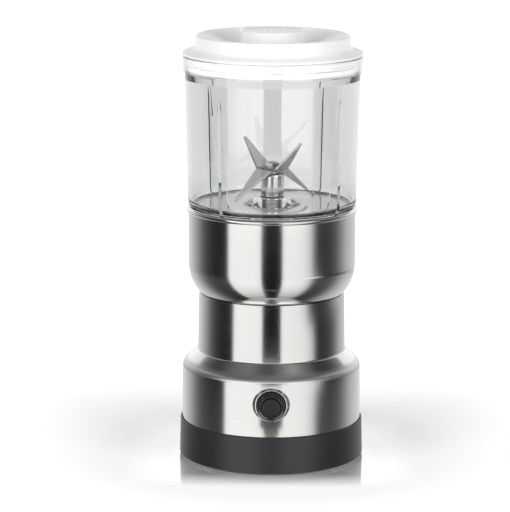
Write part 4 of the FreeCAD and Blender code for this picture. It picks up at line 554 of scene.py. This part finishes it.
class GRINDER_OT_steel(bpy.types.Operator):
    """Spun steel housing with its button lip, and the drawn bowl with its rolled rim"""

    bl_idname = "grinder.steel"
    bl_label = "Steel"

    def execute(self, context):
        steel = context.scene.grinder_steel
        skin = steel.skin / MM
        bend = HOUSING_LOW.z + steel.body_height / MM
        dull_low, dull_high = bend - 2.6, bend + 1.6
        material = spun_stainless("spun_stainless", steel.tint, steel.scratch_pitch, dull_low, dull_high)
        self.housing(steel, skin, material)
        self.bowl(steel, skin, material)
        return {"FINISHED"}

    def housing(self, steel, skin, material):
        """The lower steel: upright body, sloping shoulder and neck, with a hole for the bezel."""
        body, neck = steel.body_radius / MM, steel.neck_radius / MM
        foot, top = HOUSING_HIGH.x, HOUSING_HIGH.z
        low = HOUSING_LOW.z + steel.body_height / MM
        high = low + steel.shoulder_height / MM
        slope = math.atan2(high - low, body - neck)
        shift = skin * math.tan((math.pi / 2 - slope) / 2)
        lower_bend, upper_bend, taper = 5.0, 1.6, 0.5
        shell = lathe("spun_housing", [
            (foot, HOUSING_LOW.z), (body, low, lower_bend), (neck, high, upper_bend), (neck - taper, top),
            (neck - taper - skin, top), (neck - skin, high - shift, upper_bend + skin),
            (body - skin, low - shift, lower_bend - skin), (foot - skin, HOUSING_LOW.z)], steps=180)
        hole = BEZEL_HIGH.x - 2.6
        outside, inside = -56.0, -46.0
        cutter = lathe("hole_cutter", [(0, outside), (hole, outside), (hole, inside), (0, inside)],
                       steps=96, along_y=BUTTON_AXIS, open_ends=True)
        combine(shell, cutter, "DIFFERENCE")
        finish_piece(shell, material, "base", ["motor_housing"], angle=25)
        self.lip(bpy.context.scene.grinder_button, body - skin / 2, hole)

    def lip(self, button, radius, hole):
        """The polished lip round the hole, from inside the housing's sheet out to the bezel."""
        edge = hole + button.lip_wall / MM
        flare = edge + button.lip_flare / MM
        front, land = HOUSING_LOW.y, 0.9
        back = -math.sqrt(radius ** 2 - flare ** 2)
        lip = lathe("button_lip", [
            (hole, back), (hole, front, 0.3), (edge, front, 0.4), (edge, front + land, 0.8), (flare, back)],
            steps=96, along_y=BUTTON_AXIS)
        polished = plain_metal("polished_lip", linear("#e9e8e6"), 0.12, 0.8)
        finish_piece(lip, polished, "base")

    def bowl(self, steel, skin, material):
        """The docking bowl: flat floor with a hole, sloping underside, upright side and rolled rim."""
        radius, foot, bend = steel.bowl_radius / MM, steel.bowl_foot / MM, steel.bowl_round / MM
        tube = steel.rim_tube / MM
        low = BOWL_LOW.z
        rim = Vector((BOWL_HIGH.x - tube, BOWL_HIGH.z - tube))
        hole, rise = 16.0, 8.5
        slope = math.atan2(rise, radius - foot)
        lift = skin * (1 - math.sin(slope)) / math.cos(slope)
        inner_foot = radius + (skin - rise - skin / math.cos(slope)) / math.tan(slope)
        start = -math.degrees(math.acos((radius - rim.x) / tube))
        end = 180 + math.degrees(math.acos((rim.x - radius + skin) / tube))
        bowl = lathe("drawn_bowl", [
            (hole, low), (foot, low, 0.8), (radius, low + rise, bend), *arc(rim, tube, start, end, 24),
            (radius - skin, low + rise + lift, bend - skin), (inner_foot, low + skin, 0.5),
            (hole, low + skin)], steps=180)
        finish_piece(bowl, material, "base", ["docking_bowl"])


class GRINDER_OT_button(bpy.types.Operator):
    """Domed bezel, round push button and its return spring"""

    bl_idname = "grinder.button"
    bl_label = "Button"

    def execute(self, context):
        button = context.scene.grinder_button
        glossy = moulded_plastic("glossy_abs", linear("#242425"), 0.2, grain=0.6, coat=0.1)
        satin = moulded_plastic("satin_abs", button.tint, 0.42, grain=0.6)
        bore, front_radius = button.bore / MM, button.front_radius / MM
        front, flange = BEZEL_LOW.y, BEZEL_HIGH.y - 2.0
        side = BEZEL_HIGH.x - 2.8
        dome_foot = -52.2
        step = BUTTON_LOW.y + 4.5
        ledge = 0.95
        bezel = lathe("domed_bezel", [
            (bore, front, 0.5), (front_radius, front, 0.8), (side - 0.35, front + 3.0, 3.0),
            (side, dome_foot, 0.6), (side, flange), (BEZEL_HIGH.x, flange), (BEZEL_HIGH.x, BEZEL_HIGH.y),
            (bore + ledge, BEZEL_HIGH.y), (bore + ledge, step), (bore, step)],
            steps=96, along_y=BUTTON_AXIS)
        finish_piece(bezel, glossy, "base", ["button_bezel"])
        cap, stem = bore - 0.25, 2.2
        back = BUTTON_HIGH.y
        collar_front, collar_back = step + 0.1, step + 1.6
        crown = 70.0
        crowned = arc((0, BUTTON_LOW.y + crown), crown, 270, 273.7, 6)
        face = lathe("push_cap", [
            *crowned, (cap, BUTTON_LOW.y + 0.3, 0.3), (cap, collar_front), (cap + ledge, collar_front),
            (cap + ledge, collar_back), (stem, collar_back), (stem, back), (0, back)],
            steps=96, along_y=BUTTON_AXIS, open_ends=True)
        finish_piece(face, satin, "button", ["push_button"])
        self.spring(button)
        return {"FINISHED"}

    def spring(self, button):
        """The return spring, which a pressed button would shorten; it is built here at rest only."""
        low, high = node_box("button_spring")
        wire = button.wire / MM
        clear_selection()
        bpy.ops.mesh.primitive_circle_add(
            vertices=10, radius=wire / 2 * MM, rotation=(0, math.pi / 2, 0),
            location=Vector((0, low.y + wire / 2, (high.x - low.x - wire) / 2)) * MM)
        spring = name_piece("return_spring")
        bpy.ops.object.transform_apply(location=True, rotation=True, scale=True)
        pitch = (high.y - low.y - wire) / button.turns
        apply_modifier(spring, "SCREW", axis="Y", steps=24, render_steps=24, iterations=button.turns,
                       screw_offset=pitch * MM)
        spring.location.z = BUTTON_AXIS * MM
        bpy.ops.object.transform_apply(location=True, rotation=True, scale=True)
        close_ends(spring)
        steel = plain_metal("drawn_wire", linear("#b8b8ba"), 0.25, 0.2)
        finish_piece(spring, steel, "base", ["button_spring"])
        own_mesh(spring)


class GRINDER_OT_jar(bpy.types.Operator):
    """Clear jar with its collar, floor boss and inner ribs"""

    bl_idname = "grinder.jar"
    bl_label = "Jar"

    def execute(self, context):
        jar = context.scene.grinder_jar
        wall, foot, top = jar.wall / MM, jar.foot_radius / MM, jar.top_radius / MM
        bore = jar.collar_bore / MM
        rim = JAR_HIGH.z
        collar = rim - jar.collar_height / MM
        step = collar - 1.5
        seat = JAR_LOW.z + 4.0
        floor = seat + 0.5
        outer = JAR_HIGH.x
        spigot, spigot_wall = foot - 2.9, 2.1
        underside = floor - 2.5
        boss_foot, boss, boss_top, shank = 16.3, 9.0, floor + 4.1, 6.15
        shell = lathe("clear_jar", [
            (spigot, JAR_LOW.z, 0.3), (spigot, seat, 0.3), (foot, seat, 2.2), (top, collar, 0.4),
            (outer - 0.1, collar + 0.6, 0.4), (outer, rim, 0.5), (bore, rim, 0.5), (bore, step + 2.2, 1.0),
            (top - wall, step - 2.4, 2.0), (foot - wall, floor, 4.0), (boss_foot, floor, 1.5),
            (boss, boss_top, 0.8), (shank, boss_top), (shank, underside),
            (spigot - spigot_wall, underside, 0.3), (spigot - spigot_wall, JAR_LOW.z, 0.3)], steps=180)
        slant = (top - foot) / (step - floor)
        height = jar.rib_height / MM
        for i in range(jar.rib_count):
            turn = jar.rib_turn + i * FULL_TURN / jar.rib_count
            combine(shell, self.rib(jar, foot - wall, floor, height, slant, turn), "UNION")
        material = clear_plastic("clear_styrene", jar.tint)
        finish_piece(shell, material, "jar", ["jar"], angle=25)
        shell.visible_shadow = False
        return {"FINISHED"}

    def rib(self, jar, inner, floor, height, slant, turn):
        """A rib that runs out to nothing at its top, with a foot that spreads into the floor."""
        depth, half = jar.rib_depth / MM, jar.rib_width / MM / 2
        rooted = inner + 0.8
        sunk = floor - 0.6
        lean = slant * height
        top = floor + height
        points = rounded([(rooted, sunk), (rooted + lean, top), (inner - 0.2 + lean, top),
                          (inner - depth, floor + 5.0, 8.0), (inner - depth - 2.0, sunk)])
        away = Vector((math.cos(turn), math.sin(turn), 0))
        aside = Vector((-math.sin(turn), math.cos(turn), 0))
        places = [(away * p.x + Vector((0, 0, p.y)) - aside * half) * MM for p in points]
        rib = draw_outline("rib", places + [places[0]])
        bpy.ops.mesh.edge_face_add()
        bpy.ops.mesh.extrude_region_move(TRANSFORM_OT_translate={"value": aside * 2 * half * MM})
        tidy_skin()
        return rib


class GRINDER_OT_lid(bpy.types.Operator):
    """White lid with its raised ring, recess, boss and two side ramps"""

    bl_idname = "grinder.lid"
    bl_label = "Lid"

    def execute(self, context):
        lid = context.scene.grinder_lid
        top = LID_HIGH.z
        ring_top = top - 3.0
        seat = ring_top - 11.25
        recess = ring_top - lid.recess / MM
        ring, boss, dish = lid.ring_radius / MM, lid.boss_radius / MM, lid.dish / MM
        ring_in = ring - lid.ring_wall / MM
        flange = LID_HIGH.x
        plug, plug_wall, skin = flange - 3.0, 1.9, 2.0
        groove, groove_top, groove_foot = plug - 1.2, seat - 3.1, seat - 5.4
        shell = lathe("white_lid", [
            (0, top - dish), (boss - 3.4, top - dish, 3.0), (boss - 1.8, top, 0.9), (boss, top, 0.9),
            (boss + 0.2, recess, 0.8), (ring_in - 0.2, recess, 1.4), (ring_in, ring_top, 1.3),
            (ring, ring_top, 1.4), (ring + 0.2, seat + 3.2, 1.6), (flange - 1.5, seat + 2.0, 1.6),
            (flange, seat + 1.4, 0.6), (flange, seat, 0.2), (plug, seat), (plug, groove_top),
            (groove, groove_top), (groove, groove_foot), (plug, groove_foot), (plug, LID_LOW.z, 0.5),
            (plug - plug_wall, LID_LOW.z, 0.5), (plug - plug_wall, recess - skin, 1.0),
            (boss - skin, recess - skin), (boss - skin, top - dish - skin, 1.0), (0, top - dish - skin)],
            steps=180, open_ends=True)
        half, start = lid.ramp_half_angle, lid.ramp_start / MM
        high = ring_top - 0.7
        for middle in (0.0, math.pi):
            ramp = lathe("ramp", [
                (start, recess - 0.6), (ring_in + 0.8, recess - 0.6), (ring_in + 0.8, high),
                (ring_in - 0.3, high), (start, high - lid.ramp_fall / MM)],
                steps=30, angle=2 * half, start=middle + half)
            close_ends(ramp)
            combine(shell, ramp, "UNION")
        material = moulded_plastic("white_abs", lid.tint, 0.28, grain=0.8, relief=0.0003)
        finish_piece(shell, material, "lid", ["lid"], angle=28)
        return {"FINISHED"}


class GRINDER_OT_blades(bpy.types.Operator):
    """Crossed blades, their nut, and the chromed post"""

    bl_idname = "grinder.blades"
    bl_label = "Blades"

    def execute(self, context):
        blades = context.scene.grinder_blades
        steel = plain_metal("ground_blade_steel", linear("#bdbcba"), 0.24, 0.5)
        lower = node_box("lower_blade")[1].z - blades.sheet / MM
        upper = node_box("upper_blade")[0].z
        self.blade("lower_wings", "lower_blade", blades, steel, lower,
                   blades.lower_reach / MM, -blades.lower_fall / MM, blades.lower_turn)
        self.blade("upper_wings", "upper_blade", blades, steel, upper,
                   blades.upper_reach / MM, blades.upper_rise / MM, blades.upper_turn)
        self.post()
        self.nut()
        return {"FINISHED"}

    def blade(self, name, node, blades, steel, seat, reach, rise, turn):
        """A flat strip with two tapered wings, folded up or down by a rise."""
        sheet, bend = blades.sheet / MM, blades.bend / MM
        half, tip = blades.width / MM / 2, blades.tip / MM / 2
        slope = math.atan2(rise, reach - bend)
        fold = sheet * math.tan(slope / 2)
        aside, lift = sheet * math.sin(slope), sheet * math.cos(slope)
        end, fold_round, edge_round = seat + rise, 1.2, 0.18
        right = [(reach, end), (reach - aside, end + lift), (bend - fold, seat + sheet, fold_round)]
        left = [(-x, *rest) for x, *rest in reversed(right)]
        outline = rounded([*right, *left, (-bend, seat, fold_round), (bend, seat, fold_round)])
        points = [Vector((p.x, -half, p.y)) * MM for p in outline]
        piece = draw_outline(name, points + [points[0]])
        bpy.ops.mesh.edge_face_add()
        bpy.ops.mesh.extrude_region_move(TRANSFORM_OT_translate={"value": Vector((0, 2 * half * MM, 0))})
        for x_sign in (1, -1):
            for y_sign in (1, -1):
                bpy.ops.mesh.select_all(action="SELECT")
                outward = Vector((x_sign * (half - tip), y_sign * (reach - bend), 0)).normalized()
                bpy.ops.mesh.bisect(plane_co=Vector((x_sign * bend, y_sign * half, 0)) * MM,
                                    plane_no=outward, use_fill=True, clear_outer=True)
        tidy_skin()
        piece.rotation_euler.z = turn
        bpy.ops.object.transform_apply(location=True, rotation=True, scale=True)
        apply_modifier(piece, "BEVEL", width=edge_round * MM, segments=2, limit_method="ANGLE")
        finish_piece(piece, steel, "blade_set", [node])

    def post(self):
        """The chromed post in the jar's floor, with a seat for the seal at its top."""
        radius, shank = POST_HIGH.x, 6.0
        top, low = POST_HIGH.z, POST_LOW.z
        seat = node_box("post_gasket")[1].z
        mouth, seal, bore = 4.5, 5.1, 4.6
        seal_top, seal_foot = top - 0.4, top - 3.0
        post = lathe("chromed_post", [
            (shank, low), (shank, seat), (radius, seat, 0.2), (radius, top, 1.6), (mouth, top, 0.3),
            (mouth, seal_top), (seal, seal_top), (seal, seal_foot), (bore, seal_foot), (bore, low)], steps=96)
        chrome = plain_metal("chromed_brass", linear("#dedee0"), 0.12, 0.8)
        finish_piece(post, chrome, "jar", ["bearing_post"])

    def nut(self):
        """The hexagon nut on the blades, its corners turned down by a cone."""
        low, high = node_box("blade_nut")
        across = high.x - low.x
        corner = across / 2 + 0.9
        clear_selection()
        bpy.ops.mesh.primitive_cylinder_add(
            vertices=6, radius=across / math.sqrt(3) * MM, depth=(high.z - low.z) * MM,
            location=(0, 0, (high.z + low.z) / 2 * MM))
        nut = name_piece("hex_nut")
        bpy.ops.object.transform_apply(location=True, rotation=True, scale=True)
        cone = lathe("nut_chamfer", [
            (0, low.z - 2), (across / 2 - 0.2, low.z - 0.1), (corner, low.z + 0.5),
            (corner, high.z - 0.7), (across / 2 - 0.3, high.z + 0.02), (0, high.z + 0.02)],
            steps=72, open_ends=True)
        combine(nut, cone, "INTERSECT")
        material = plain_metal("chromed_nut", linear("#d2d2d4"), 0.18, 0.5)
        finish_piece(nut, material, "blade_set", ["blade_nut"])


class GRINDER_OT_finishes(bpy.types.Operator):
    """Give each carried-over CAD node the finish of its slot"""

    bl_idname = "grinder.finishes"
    bl_label = "Finishes"

    def execute(self, context):
        materials = {}
        for row in frame["record"]["subparts"]:
            slot = row["material_slot"]
            piece = frame["nodes"][row["node"]]
            if piece.hide_render:
                continue
            if slot not in materials:
                kind, code, roughness, grain = CAD_FINISHES[slot]
                materials[slot] = kind(slot, linear(code), roughness, grain)
            piece.material_slots[0].material = materials[slot]
        return {"FINISHED"}


class GRINDER_OT_stage(bpy.types.Operator):
    """Floor, reflection cards, lamps, white surroundings and camera, all placed in metres"""

    bl_idname = "grinder.stage"
    bl_label = "Stage"

    def execute(self, context):
        self.surroundings(context.scene)
        self.floor()
        self.cards()
        self.lamps()
        self.camera(context.scene, context.scene.grinder_stage)
        context.scene.view_settings.view_transform = "Standard"
        return {"FINISHED"}

    def surroundings(self, scene):
        """White behind and through the jar, grey in mirrors, and a soft glow on matt surfaces."""
        on_matt, in_mirrors, behind = 0.42, 0.25, 1.0
        world = bpy.data.worlds.new("white_studio")
        scene.world = world
        world.use_nodes = True
        tree = world.node_tree
        tree.nodes.clear()
        rays = add_node(tree, "ShaderNodeLightPath").outputs
        strength = on_matt
        for kind, level in (("Is Glossy Ray", in_mirrors), ("Is Transmission Ray", THROUGH_JAR),
                            ("Is Camera Ray", behind)):
            strength = map_range(tree, rays[kind], 0.0, 1.0, strength, level)
        glow = add_node(tree, "ShaderNodeBackground", {"Color": WHITE, "Strength": strength})
        add_node(tree, "ShaderNodeOutputWorld", {"Surface": glow.outputs["Background"]})

    def floor(self):
        """A pale floor: a painted glow brings it to white away from the grinder and fades to nothing under
        and round its base, a painted contact shadow; it mirrors the front of its base.
        """
        grey, gloss, polish = 0.82, 0.08, 0.72
        clear_selection()
        bpy.ops.mesh.primitive_plane_add(size=8.0, location=(0, 0, 0))
        floor = name_piece("pale_floor")
        material, tree = new_material("pale_floor")
        rays = add_node(tree, "ShaderNodeLightPath").outputs
        place = object_place(tree)
        axes = axes_of(tree, place)
        aside = calculate(tree, "ABSOLUTE", axes["X"])
        away = add_node(tree, "ShaderNodeVectorMath", {0: place}, operation="LENGTH").outputs["Value"]
        # Painted light and shade: the floor glows to white far from the grinder, less near it, and not at all
        # under and just round its base, which paints a dark contact shadow there.
        glow_with_painted_shadow = map_range(tree, away, 0.1, 0.4, 0.3, 1.0)
        glow_with_painted_shadow = map_range(tree, away, 0.048, 0.07, 0.0, glow_with_painted_shadow)
        glow = light(tree, WHITE, calculate(tree, "MULTIPLY", rays["Is Camera Ray"], glow_with_painted_shadow))
        matt = add_node(tree, "ShaderNodeBsdfDiffuse", {"Color": (grey, grey, grey, 1.0)})
        both = add_node(tree, "ShaderNodeAddShader", {0: matt.outputs[0], 1: glow})
        for value, start, end in ((axes["Y"], -0.074, -0.048), (axes["Y"], 0.09, 0.0),
                                  (aside, 0.085, 0.056), (away, 0.051, 0.0535)):
            polish = calculate(tree, "MULTIPLY", map_range(tree, value, start, end), polish)
        mirror = add_node(tree, "ShaderNodeBsdfGlossy", {"Color": WHITE, "Roughness": gloss})
        surface = mixed(tree, polish, both.outputs[0], mirror.outputs[0])
        show(tree, mixed(tree, rays["Is Transmission Ray"], surface, light(tree, WHITE, THROUGH_JAR)))
        floor.data.materials.append(material)
        floor.visible_glossy = False

    def cards(self):
        """Panels that only reflections see, most of them bent round the grinder's axis."""
        radius, foot = 0.9, -2.2
        wrap = self.wrap_material()
        black = self.even_material("black_card", 0.006)
        front = self.card("front_wrap", wrap, self.around(-106, 106, radius, foot), 2.63)
        front.visible_transmission = True
        self.card("rear_wrap", wrap, self.around(106, 254, radius, foot), 2.76)
        centre_radius, shade_radius, near_radius = 0.88, 0.15, 0.3
        for i, (half, low, high) in enumerate((
                (12, 0.0, 0.14), (14, -0.115, 0.0), (9, -0.225, -0.18), (14, foot, -0.225))):
            bend = self.around(-half, half, centre_radius, low)
            centre = self.card(f"centre_card_{i}", black, bend, high - low)
            centre.visible_transmission = low == 0.0
        # Grey cards low on the floor in front of the button, darkest and widest at the top: the steel under
        # the button mirrors them as a painted V of shade, standing in for the button's shadow and smeared
        # reflection.
        for i, (half, low, high, grey) in enumerate((
                (12, 0.004, 0.013, 0.09), (8, 0.001, 0.004, 0.16), (5, -0.002, 0.001, 0.3))):
            shade = self.even_material(f"shade_card_{i}", grey)
            self.card(f"shade_card_{i}", shade, self.around(-half, half, shade_radius, low), high - low)
        self.card("near_card", black, self.around(-13, 13, near_radius, 0.008), 0.052)
        edge = [Vector((x, -1.3, 1.25)) for x in (-2.0, 2.0)]
        self.card("ceiling_card", self.ceiling_material(), edge, 0.0, 3.6)
        edge = [Vector((x, -0.9, foot)) for x in (-0.9, 0.9)]
        self.card("table_card", self.even_material("table_card", 0.5), edge, 0.0, 1.8)

    def wrap_material(self):
        """The surround's light: white in front, black at both flanks and grey behind."""
        material, tree = new_material("studio_wrap")
        axes = axes_of(tree, object_place(tree))
        forward = calculate(tree, "MULTIPLY", axes["Y"], -1.0)
        azimuth = calculate(tree, "ARCTAN2", axes["X"], forward)
        # Between two heights the white reaches further round on the right.
        shift = 0.21
        for value, start, end in ((azimuth, 0.5, 0.9), (axes["Z"], -0.148, -0.136),
                                  (axes["Z"], -0.08, -0.092)):
            shift = calculate(tree, "MULTIPLY", map_range(tree, value, start, end), shift)
        turned = calculate(tree, "SUBTRACT", azimuth, shift)
        tone = self.tones(tree, turned, math.pi, 180, (
            (-180, 0.66), (-152, 0.66), (-136, 0.51), (-123, 0.34), (-112, 0.17), (-103, 0.085),
            (-95, 0.046), (-86, 0.026), (-78, 0.016), (-62.3, 0.013), (-59.3, 1.0), (20, 0.97),
            (41, 0.9), (47, 0.79), (53, 0.62), (59, 0.18), (65, 0.033), (79, 0.04), (86, 0.053),
            (94, 0.085), (102, 0.165), (112, 0.32), (122, 0.47), (136, 0.57), (152, 0.66), (180, 0.66)))
        # It is a trace lighter at its foot, and darker high up in front.
        lift = map_range(tree, axes["Z"], -0.12, -0.19, 0.0, 0.03)
        tone = add_node(tree, "ShaderNodeVectorMath", {0: tone, 1: lift}).outputs["Vector"]
        above = calculate(tree, "SUBTRACT", axes["Z"], map_range(tree, axes["Y"], -0.35, 0.1))
        tone = scaled(tree, tone, map_range(tree, above, 0.15, 0.24, 1.0, 0.3))
        below_floor = map_range(tree, axes["Z"], -1.8, -0.3, 0.5, 1.15)
        self.glow(tree, tone, map_range(tree, axes["Z"], -0.01, 0.01, below_floor, 1.75))
        return material

    def ceiling_material(self):
        """The ceiling's light: greys from left to right, which the sloping shoulder mirrors."""
        material, tree = new_material("ceiling_card")
        axes = axes_of(tree, object_place(tree))
        edge = 1.6
        self.glow(tree, self.tones(tree, axes["X"], edge, edge, (
            (-1.54, 0.44), (-1.39, 0.31), (-1.26, 0.16), (-1.13, 0.085), (-1.01, 0.056), (-0.89, 0.058),
            (-0.76, 0.11), (-0.64, 0.17), (-0.51, 0.19), (-0.39, 0.21), (-0.26, 0.16), (-0.13, 0.1),
            (0.0, 0.09), (0.13, 0.17), (0.26, 0.29), (0.39, 0.36), (0.51, 0.22), (0.64, 0.15),
            (0.76, 0.06), (0.89, 0.045), (1.01, 0.055), (1.13, 0.09), (1.26, 0.17), (1.39, 0.32),
            (1.54, 0.44))), 1.0)
        return material

    def even_material(self, name, grey):
        """A card's light in one even grey."""
        material, tree = new_material(name)
        self.glow(tree, WHITE, grey)
        return material

    def tones(self, tree, value, edge, reach, stops):
        """Greys over a value from -edge to edge; stops are (place, grey), places from -reach to reach."""
        ramp = add_node(tree, "ShaderNodeValToRGB", {"Fac": map_range(tree, value, -edge, edge)})
        marks = ramp.color_ramp.elements
        while len(marks) < len(stops):
            marks.new(0.5)
        for mark, (place, grey) in zip(marks, stops):
            mark.position = (place + reach) / (2 * reach)
            mark.color = (grey, grey, grey, 1.0)
        return ramp.outputs["Color"]

    def glow(self, tree, tone, strength):
        """A card's light; straight through the jar it is the plain white of the surroundings."""
        rays = add_node(tree, "ShaderNodeLightPath").outputs
        straight = calculate(tree, "LESS_THAN", rays["Glossy Depth"], 0.5)
        through = calculate(tree, "MULTIPLY", rays["Is Transmission Ray"], straight)
        show(tree, mixed(tree, through, light(tree, tone, strength), light(tree, WHITE, THROUGH_JAR)))

    def around(self, start, end, radius, low):
        """Places a degree apart round the axis; 0 is in front and 90 on the right."""
        return [Vector((math.sin(math.radians(a)) * radius, -math.cos(math.radians(a)) * radius, low))
                for a in range(start, end + 1)]

    def card(self, name, material, places, height, depth=0.0):
        """A panel extruded from a line of places, which only reflections see."""
        card = draw_outline(name, places)
        bpy.ops.mesh.extrude_region_move(TRANSFORM_OT_translate={"value": Vector((0, depth, height))})
        bpy.ops.object.mode_set(mode="OBJECT")
        card.data.materials.append(material)
        material.cycles.emission_sampling = "NONE"
        card.visible_camera = False
        card.visible_diffuse = False
        card.visible_transmission = False
        card.visible_shadow = False
        return card

    def lamps(self):
        """Two softboxes in front, aimed at the middle of the grinder."""
        aside, front, height = 1.1, -1.2, 0.72
        target = Vector((0, 0, 0.12))
        for name, x, power in (("left_softbox", -aside, 17.0), ("right_softbox", aside, 15.0)):
            place = Vector((x, front, height))
            bpy.ops.object.light_add(type="AREA", location=place)
            lamp = bpy.context.object
            lamp.name = name
            lamp.data.shape = "RECTANGLE"
            lamp.data.size = 0.9
            lamp.data.size_y = 1.2
            lamp.data.energy = power
            lamp.visible_glossy = False
            lamp.rotation_euler = (target - place).to_track_quat("-Z", "Y").to_euler()

    def camera(self, scene, stage):
        """The photograph's camera, solved from the grinder's outlines."""
        bpy.ops.object.camera_add(location=(0, -stage.distance, stage.height))
        camera = bpy.context.object
        camera.name = "photo_camera"
        camera.data.lens = stage.focal_length
        camera.data.sensor_width = 36.0
        camera.data.clip_start = 0.05
        camera.data.clip_end = 20.0
        camera.rotation_euler = (math.pi / 2 - stage.tilt, 0.0, stage.turn)
        camera.rotation_euler.rotate_axis("Z", stage.roll)
        scene.camera = camera


class GRINDER_PT_panel(bpy.types.Panel):
    """The grinder's pieces, in the order they are made"""

    bl_idname = "GRINDER_PT_panel"
    bl_label = "Spice Grinder"
    bl_space_type = "VIEW_3D"
    bl_region_type = "UI"
    bl_category = "Grinder"

    def draw(self, context):
        for operator in PIECES:
            self.layout.operator(operator.bl_idname)


SETTINGS = {
    "grinder_steel": GrinderSteel,
    "grinder_jar": GrinderJar,
    "grinder_lid": GrinderLid,
    "grinder_button": GrinderButton,
    "grinder_blades": GrinderBlades,
    "grinder_stage": GrinderStage,
}
PIECES = [GRINDER_OT_base, GRINDER_OT_steel, GRINDER_OT_button, GRINDER_OT_jar, GRINDER_OT_lid,
          GRINDER_OT_blades, GRINDER_OT_finishes, GRINDER_OT_stage]


def register():
    for kind in (*SETTINGS.values(), *PIECES, GRINDER_PT_panel):
        bpy.utils.register_class(kind)
    for name, kind in SETTINGS.items():
        setattr(bpy.types.Scene, name, PointerProperty(type=kind))


def unregister():
    for name in SETTINGS:
        delattr(bpy.types.Scene, name)
    for kind in reversed((*SETTINGS.values(), *PIECES, GRINDER_PT_panel)):
        bpy.utils.unregister_class(kind)


def main():
    register()
    bpy.ops.grinder.base()
    bpy.ops.grinder.steel()
    bpy.ops.grinder.button()
    bpy.ops.grinder.jar()
    bpy.ops.grinder.lid()
    bpy.ops.grinder.blades()
    bpy.ops.grinder.finishes()
    bpy.ops.grinder.stage()


if __name__ == "__main__":
    main()
